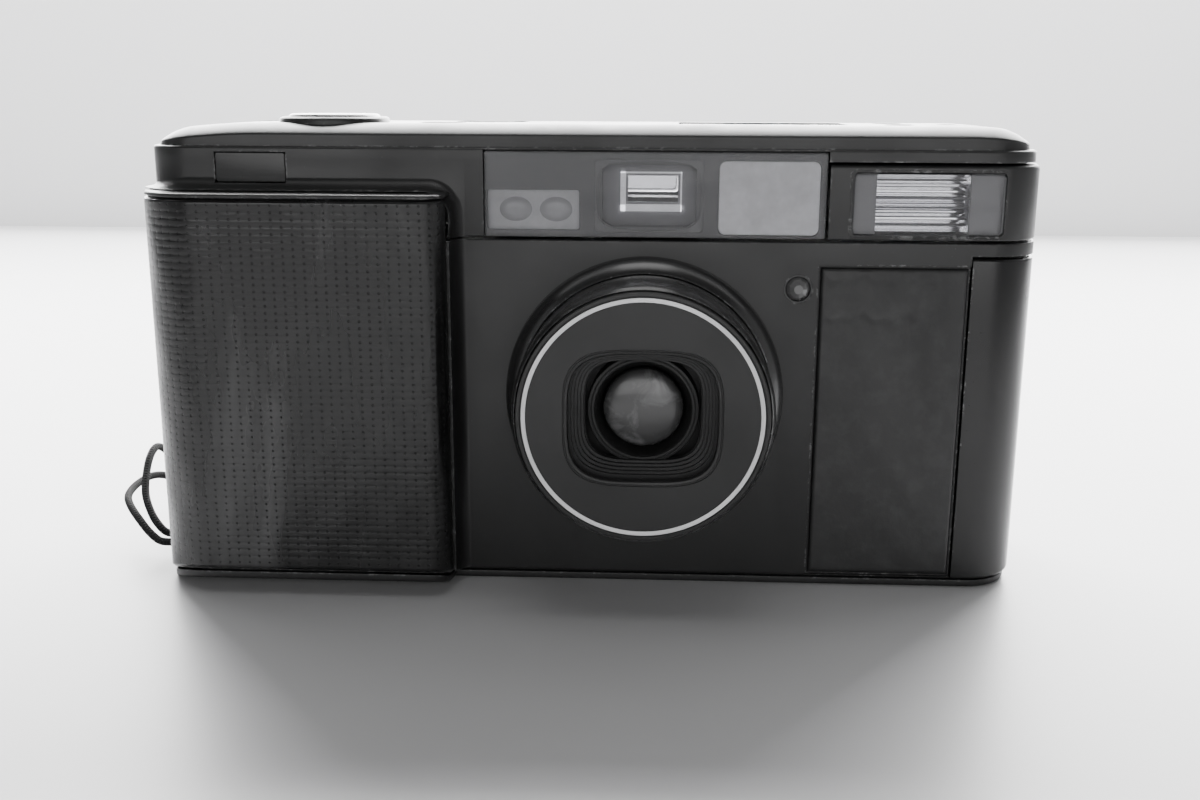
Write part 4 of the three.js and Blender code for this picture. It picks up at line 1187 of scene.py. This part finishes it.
def lens_funnel():
    """The stepped baffle: five four-sided steps that narrow towards the lens."""
    sides = []
    for i in range(5):
        w, h = 8.95 - 0.38 * i, 7.75 - 0.33 * i
        level = FUNNEL_FRONT + 0.5 * i
        sides.append(opening(w + 0.05, h + 0.05, level))
        sides += [opening(w, h, level + deep) for deep in (0.06, 0.5)]
    sides += [opening(7.3, 6.45, -21.95), opening(7.25, 6.4, FUNNEL_BACK)]
    outside = [circle(15, FUNNEL_BACK), circle(15, FUNNEL_FRONT)]
    piece = loft(outside + sides, closed=True)
    finish_piece(piece, "lens_funnel", PLASTIC, "lens_baffle", "lens_barrel", angle=30)


def lens_mount():
    """The cell that holds the glass, with a waist for the shutter."""
    cell = [(5.15, -19.6), (5.95, -21.3), (6.1, -21.8), (6.2, -21.9), (6.45, -21.9), (6.55, -21.8)]
    cell += [(6.65, -21.9), (6.95, -21.85), (7.05, -21.6), (7.05, -18.9), (13.8, -18.9), (13.8, -8.6)]
    cell += [(6.6, -8.6), (6.6, -12), (5.0, -12), (5.0, -14.2), (12.5, -14.2), (12.5, -15.7)]
    cell += [(5.0, -15.7), (5.0, -18), (5.15, -18)]
    piece = turned(cell, 128)
    finish_piece(piece, "lens_mount", CELL, "lens_cell", "lens_group", angle=35)


def front_glass():
    angles = [radians(a) for a in range(0, 91, 9)]
    dome = [(GLASS_RADIUS * sin(a), -20.35 - 1.5 * cos(a)) for a in angles]
    glass = [*dome, (GLASS_RADIUS, -18.4), (3.5, -17.9), (0, -17.7)]
    piece = turned(glass, 96)
    finish_piece(piece, "front_glass", LENS_GLASS, "front_element", "lens_group", angle=50)


# ---------------- controls on the top


def knurled(name, spot, radius, low, high, notches, body, node):
    """A dial with a wavy rim and nine plain marks."""
    x, y = spot
    count = notches * 6

    def ring(inset, z, depth):
        """A circle at a height, its waves as deep as depth says."""
        result = []
        for i in range(count):
            a = 2 * pi * i / count
            r = radius - inset - depth * (0.5 - 0.5 * cos(notches * a))
            result.append((x + r * cos(a), y + r * sin(a), z))
        return result

    section = [(0.3, low, 0), (0, low + 0.2, 0.25), (0, high - 0.35, 0.25), (0.12, high - 0.12, 0.25)]
    section += [(0.45, high, 0.05), (0.9, high, 0), (1.0, high - 0.1, 0), (2.2, high - 0.12, 0)]
    section.append((radius - 0.02, high - 0.1, 0))
    dial = loft([ring(*step) for step in section])
    finish_piece(dial, name, PLASTIC, node, body, angle=40)

    def mark(angle):
        """A short bar that points away from the middle of the dial."""
        bar = rounded(radius - 2.25, -0.07, radius - 1.25, 0.07, 0.05, 3)
        c, s = cos(radians(angle)), sin(radians(angle))

        def outline(inset):
            return [(x + u * c - v * s, y + u * s + v * c) for u, v in bar(inset)]

        return raised(outline, high - 0.2, high - 0.07)

    marks = join(*(mark(angle) for angle in range(-60, 181, 30)))
    finish_piece(marks, name + "_marks", WHITE, body=body)


def release_button():
    """A button with a shallow dish for the finger."""
    x, y = BUTTON_AT
    dish = [(0, 0.62), (2.0, 0.66), (3.6, 0.78), (4.8, 0.98), (5.4, 1.07), (5.7, 1.05), (5.95, 0.9)]
    dish += [(6.08, 0.6), (6.1, -0.4), (2, -0.9), (2, 58.9 - TOP), (0, 58.9 - TOP)]
    piece = turned(dish, 96, x=x, y=y, base=TOP)
    finish_piece(piece, "release_button", BUTTON, "shutter_button", "release", angle=40)


def small_keys():
    top = TOP + 0.1
    for name, (x, y), radius, body, node in (
        ("power_key_cap", POWER_AT, 2.9, "power_key", "power_button"),
        ("mode_key_cap", MODE_AT, 1.9, "mode_key", "mode_button"),
        ("timer_key_cap", TIMER_AT, 1.9, "timer_key", "timer_button"),
    ):
        profile = [(0, top - 0.12), (radius * 0.6, top - 0.06), (radius - 0.35, top)]
        profile += [(radius - 0.12, top - 0.08), (radius, top - 0.35), (radius, 59.4), (0, 59.4)]
        piece = turned(profile, 64, x=x, y=y)
        finish_piece(piece, name, PLASTIC, node, body, angle=40)


def dials():
    knurled("aperture_ring", APERTURE_AT, 4.7, 59.0, 60.3, 26, "aperture_wheel", "aperture_dial")
    knurled("exposure_ring", EXPOSURE_AT, 4.9, 59.0, 60.9, 28, "exposure_wheel", "exposure_dial")


def flash_slider():
    x0, x1 = span("flash_switch")[0]
    slider = raised(rounded(x0, -1.2, x1, 1.2, 0.6), 59.3, TOP - 0.45, 0, 0.25)
    join(slider, box(x0 + 0.6, x1 - 0.6, -0.6, 0.6, 58.6, 60))
    ridges = [box(x0 + 0.65 + 0.6 * i, x0 + 0.9 + 0.6 * i, -2, 2, TOP - 0.6, TOP + 1) for i in range(3)]
    carve(slider, *ridges)
    finish_piece(slider, "flash_slider_cap", PLASTIC, "flash_switch", "flash_slider")


def display_panel():
    """The display's glass over a tray that holds the blank crystal."""
    display = raised(rounded(*DISPLAY, 0.8), 60.3, TOP - 0.12, 0, 0.2)
    finish_piece(display, "display_glass", ACRYLIC, "lcd_panel")
    tray = raised(rounded(*DISPLAY, 0.8), 59.3, 60.25)
    carve(tray, raised(rounded(15, -3.8, 31, 3.8, 0.4), 60.1, 62))
    finish_piece(tray, "display_tray", PLASTIC)
    crystal = raised(rounded(15.1, -3.7, 30.9, 3.7, 0.3), 60.12, 60.2)
    finish_piece(crystal, "display_crystal", CRYSTAL)


# ---------------- back


def film_back():
    """The hinged back with its middle knuckle, the film window's opening and a thumb rest."""
    outline = rounded(span("back_door")[0][0], BACK - 2.1, HINGE[0] - 1.0, BACK, (0.5, 0.5, 1.2, 0.8), 8)
    panel = raised(outline, DOOR_BOTTOM, DOOR_TOP, 0.4, 0.4)
    arm = box(HINGE[0] - 3, HINGE[0], BACK - 2.05, BACK - 0.3, *MIDDLE_KNUCKLE)
    join(panel, arm, knuckle(*MIDDLE_KNUCKLE))
    room, (low, high) = KNUCKLE + GAP, LOW_KNUCKLE
    bores = (0.75, 0, 60), (room, low - GAP, high + GAP), (room, HIGH_KNUCKLE - GAP, DOOR_TOP + 1)
    carve(
        panel,
        *(disc(radius, low, high, 32, x=HINGE[0], y=HINGE[1]) for radius, low, high in bores),
        plate(rounded(-33, 14, -27, 36, 1), 5, 20),
        plate(rounded(-33.8, 13.2, -26.2, 36.8, 1.6), BACK - 0.25, 20),
    )
    thumb = plate(rounded(-52, 20, -38, 44, 2.5), BACK - 0.4, BACK + 0.55, 0, 0.4)
    slots = [box(-50.5, -39.5, BACK + 0.3, 20, z - 0.3, z + 0.3) for z in range(22, 43, 2)]
    carve(thumb, *slots)
    join(panel, thumb)
    finish_piece(panel, "film_back_panel", BACK_PAINT, "back_door", "film_door")

    window = plate(rounded(-32.7, 14.3, -27.3, 35.7, 0.8), BACK - 1.6, BACK - 0.3, 0, 0.2)
    finish_piece(window, "film_window_pane", METER, "film_window", "film_door")


def back_latch():
    x = BAND_LEFT
    latch = box(x - 0.95, x - 0.15, 4.6, 8.6, 25, 34)
    teeth = [box(x - 1.05, x - 0.5, 4.8, 8.4, 26.2 + i, 26.65 + i) for i in range(7)]
    join(latch, *teeth)
    soften(latch, 0.12, 35)
    finish_piece(latch, "back_latch", PLASTIC, "door_latch", "latch")


# ---------------- strap

# The routes of the two strands from the lug to the ferrule
STRAND_ROUTES = {
    "strap_strand_upper": [
        (-58.8, -6.1, 3.4), (-60.6, -6.0, 3.1), (-62.4, -5.1, 4.2), (-64.0, -3.5, 5.7),
        (-65.3, -1.5, 7.5), (-66.0, 1.0, 9.7), (-66.3, 3.5, 11.6), (-66.3, 6.2, 12.4),
        (-66.0, 8.8, 11.2), (-65.5, 11.2, 8.6), (-64.7, 13.6, 5.4), (-63.7, 16.0, 3.0),
        (-62.5, 18.4, 1.9), (-61.8, 20.6, 1.7),
    ],
    "strap_strand_outer": [
        (-58.8, -7.5, 2.3), (-61.1, -7.4, 2.3), (-63.0, -6.6, 3.3), (-64.8, -5.3, 4.6),
        (-66.9, -3.1, 5.8), (-68.4, -0.5, 6.5), (-68.9, 2.3, 6.9), (-68.7, 5.2, 7.2),
        (-68.2, 8.0, 7.2), (-67.4, 10.8, 6.5), (-66.4, 13.4, 4.9), (-65.2, 15.8, 3.0),
        (-64.0, 18.2, 1.9), (-63.4, 20.6, 1.7),
    ],
}


def through(route, steps=8):
    """Points along the smooth curve through a route."""
    result = []
    for i in range(len(route) - 1):
        p0, p1, p2, p3 = (
            Vector(route[max(0, min(len(route) - 1, k))]) for k in (i - 1, i, i + 1, i + 2)
        )
        for s in range(steps):
            t = s / steps
            cubic = (3 * p1 - p0 - 3 * p2 + p3) * t**3 + (2 * p0 - 5 * p1 + 4 * p2 - p3) * t**2
            result.append(0.5 * (2 * p1 + (p2 - p0) * t + cubic))
    result.append(Vector(route[-1]))
    return result


def tube(line, diameter, sides=16, normal=Vector((0, 0, 1))):
    """A mesh tube along a line of points, with UVs of (distance along, turn round it)."""
    rings, along, travelled = [], [], 0.0
    for i, p in enumerate(line):
        ahead = (line[min(i + 1, len(line) - 1)] - line[max(i - 1, 0)]).normalized()
        side = ahead.cross(normal).normalized()
        normal = side.cross(ahead).normalized()
        if i:
            travelled += (p - line[i - 1]).length
        turns = [2 * pi * k / sides for k in range(sides)]
        rings.append([p + (side * cos(a) + normal * sin(a)) * diameter / 2 for a in turns])
        along.append(travelled * MM)
    bm = bmesh.new()
    uv = bm.loops.layers.uv.new("UVMap")
    made = [[bm.verts.new(point(*p)) for p in ring] for ring in rings]
    for i in range(len(made) - 1):
        for k in range(sides):
            m = (k + 1) % sides
            face = bm.faces.new((made[i][k], made[i][m], made[i + 1][m], made[i + 1][k]))
            corners = ((i, k), (i, k + 1), (i + 1, k + 1), (i + 1, k))
            for loop, (row, column) in zip(face.loops, corners):
                loop[uv].uv = (along[row], column / sides)
    bm.faces.new(made[0])
    bm.faces.new(made[-1])
    return from_bmesh(bm, 1e-7)


def line_length(line):
    return sum((b - a).length for a, b in zip(line, line[1:]))


def strands():
    for node, route in STRAND_ROUTES.items():
        line = through(route)
        piece = tube(line, STRAND)
        finish_piece(piece, node + "_cord", THIN_CORD, node, angle=60)
        line_length(line) * MM


def hank_line():
    """The wrist cord: out of the ferrule, four layers of a pinched hank, then down beside it and
    back into the ferrule."""
    middle = sum(FERRULE[0]) / 2
    bend = (HANK[0][1] - HANK[0][0]) / 2 - 1.05 * WRIST
    start = FERRULE[1][1] - MIDDLE
    far = HANK[1][1] - MIDDLE - WRIST / 2 - bend - 0.05
    near = start + 10.7
    lift, low, layers, steps = 1.06 * WRIST, WRIST / 2 + 0.45, 4, 12

    def half(t):
        """Half the distance between the columns: the tie pinches them in the middle."""
        return bend - 2.6 * (1 - ease(abs(2 * t - 1), 0.12, 1.0))

    out = [(middle + 1.5, start, 1.6), (middle + 1.5, start + 2.0, 1.5), (middle + 2.3, start + 4.6, low)]
    out += [(middle + 3.9, start + 7.6, low), (middle + 5.0, start + 9.6, low)]
    line = through(out, 4)
    for layer in range(layers):
        z = low + lift * layer
        for i in range(steps + 1):
            t = i / steps
            line.append(Vector((middle + half(t), near + (far - near) * t, z)))
        for i in range(1, steps):
            a = pi * i / steps
            line.append(Vector((middle + bend * cos(a), far + bend * sin(a), z)))
        last = layer == layers - 1
        for i in range(steps + 1):
            t = i / steps
            aside = 1.08 * WRIST * ease(t, 0, 0.5) if last else 0.0
            height = z + (low - z) * ease(t, 0.15, 1.0) if last else z + lift * t
            line.append(Vector((middle - half(t) - aside, far + (near - far) * t, height)))
        for i in range(1, 0 if last else steps):
            a = pi * (1 + i / steps)
            line.append(Vector((middle + bend * cos(a), near + bend * sin(a), z + lift)))
    back = [(middle - bend - 1.08 * WRIST, near, low), (middle - bend - 1.2, near - 3.4, low)]
    back += [(middle - 4.6, near - 6.0, low), (middle - 2.2, start + 2.4, 1.5), (middle - 1.5, start, 1.6)]
    return line + through(back, 5)[1:]


def wrist_cord():
    line = hank_line()
    piece = tube(line, WRIST)
    finish_piece(piece, "wrist_cord", CORD, "strap_hank", angle=60)
    middle = sum(FERRULE[0]) / 2
    run = [p for p in line if p.y > FERRULE[1][1] - MIDDLE + 12]
    at = (min(p.y for p in run) + max(p.y for p in run)) / 2 - 0.6
    x0, x1, z1 = middle - 2.65 - 3.2 * WRIST / 2 - 0.5, middle + 2.65 + WRIST / 2 + 0.45, 9.35
    band = plate(rounded(x0, 0.05, x1, z1, 1.9), at - 2, at + 2, 0.15, 0.15)
    carve(band, plate(rounded(x0 + 0.4, 0.45, x1 - 0.4, z1 - 0.4, 1.5), 0, 90))
    finish_piece(band, "hank_tie", PLASTIC)
    point(*line[0])
    line_length(line) * MM
    [point(*p) for p in line]


def ferrule():
    (x0, x1), (y0, y1), (z0, z1) = FERRULE
    piece = plate(rounded(x0, z0, x1, z1, 1.5), y0 - MIDDLE, y1 - MIDDLE, 0.5, 0.5)
    waist = (y0 + y1) / 2 - MIDDLE
    carve(
        piece,
        box(x0 - 1, x1 + 1, waist - 0.4, waist + 0.4, z1 - 0.3, z1 + 1),
        *(disc(0.62, y0 - MIDDLE - 1, y0 - MIDDLE + 2, 24, x=x, z=1.7) for x in (-61.8, -63.4)),
    )
    return finish_piece(piece, "cord_ferrule", SATIN, "strap_ferrule")


def lug():
    """A wire staple that stands on end in the grip's side."""
    low, high, wire, corner = 1.95, 4.9, 1.1, 0.45
    x, z0, z1 = LUG_X + corner, low + corner, high - corner
    route = [(LUG_X + 1.7, low), (x, low), *((x - p, z0 - q) for p, q in arc(0, 0, corner, 60, 30, 2))]
    route += [(LUG_X, z0), (LUG_X, z1), *((x - p, z1 + q) for p, q in arc(0, 0, corner, 30, 60, 2))]
    route += [(x, high), (LUG_X + 1.7, high)]
    piece = tube([Vector((u, LUG_Y, w)) for u, w in route], wire, 20, Vector((0, 1, 0)))
    finish_piece(piece, "lug_staple", STEEL, "strap_lug", angle=60)


# ---------------- pieces kept from the frame

CAD_MATERIALS = {
    "chassis": INNER,
    "af_module": MASK,
    "finder_tunnel": MASK,
    "flash_capacitor": SLEEVE,
    "barrier_blade_upper_main": CELL,
    "barrier_blade_upper_sub": CELL,
    "barrier_blade_lower_main": CELL,
    "barrier_blade_lower_sub": CELL,
    "rear_element": LENS_GLASS,
    "shutter_leaf_left": LEAF,
    "shutter_leaf_right": LEAF,
    "circuit_board": BOARD,
    "pressure_plate": STEEL,
    "door_hinge_pin": SATIN,
    "take_up_spool": INNER,
    "rewind_fork": INNER,
    "battery": SLEEVE,
}


def dress_frame():
    """Kept CAD nodes get fine edges and their materials."""
    for name, material in CAD_MATERIALS.items():
        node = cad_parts[name]
        paint(node, material)
        soften(node, 0.08, 50)


viewpoint()
studio()
ferrule_piece = ferrule()
strands()
wrist_cord()
lug()
for build in (
    front_cover, grip_rubber, front_skin, side_cover, top_cover, base_plate, battery_lid,
    tripod_socket, base_screws, window_bar, frame_window, autofocus_windows, finder_front,
    bright_lines, eyepiece, meter_window, self_timer_lamp, flash_housing, flash_mirror,
    flash_inside, lens_collar, lens_barrel, lens_face, lens_funnel, lens_mount, front_glass,
    release_button, small_keys, dials, flash_slider, display_panel, film_back, back_latch,
    dress_frame,
):
    build()
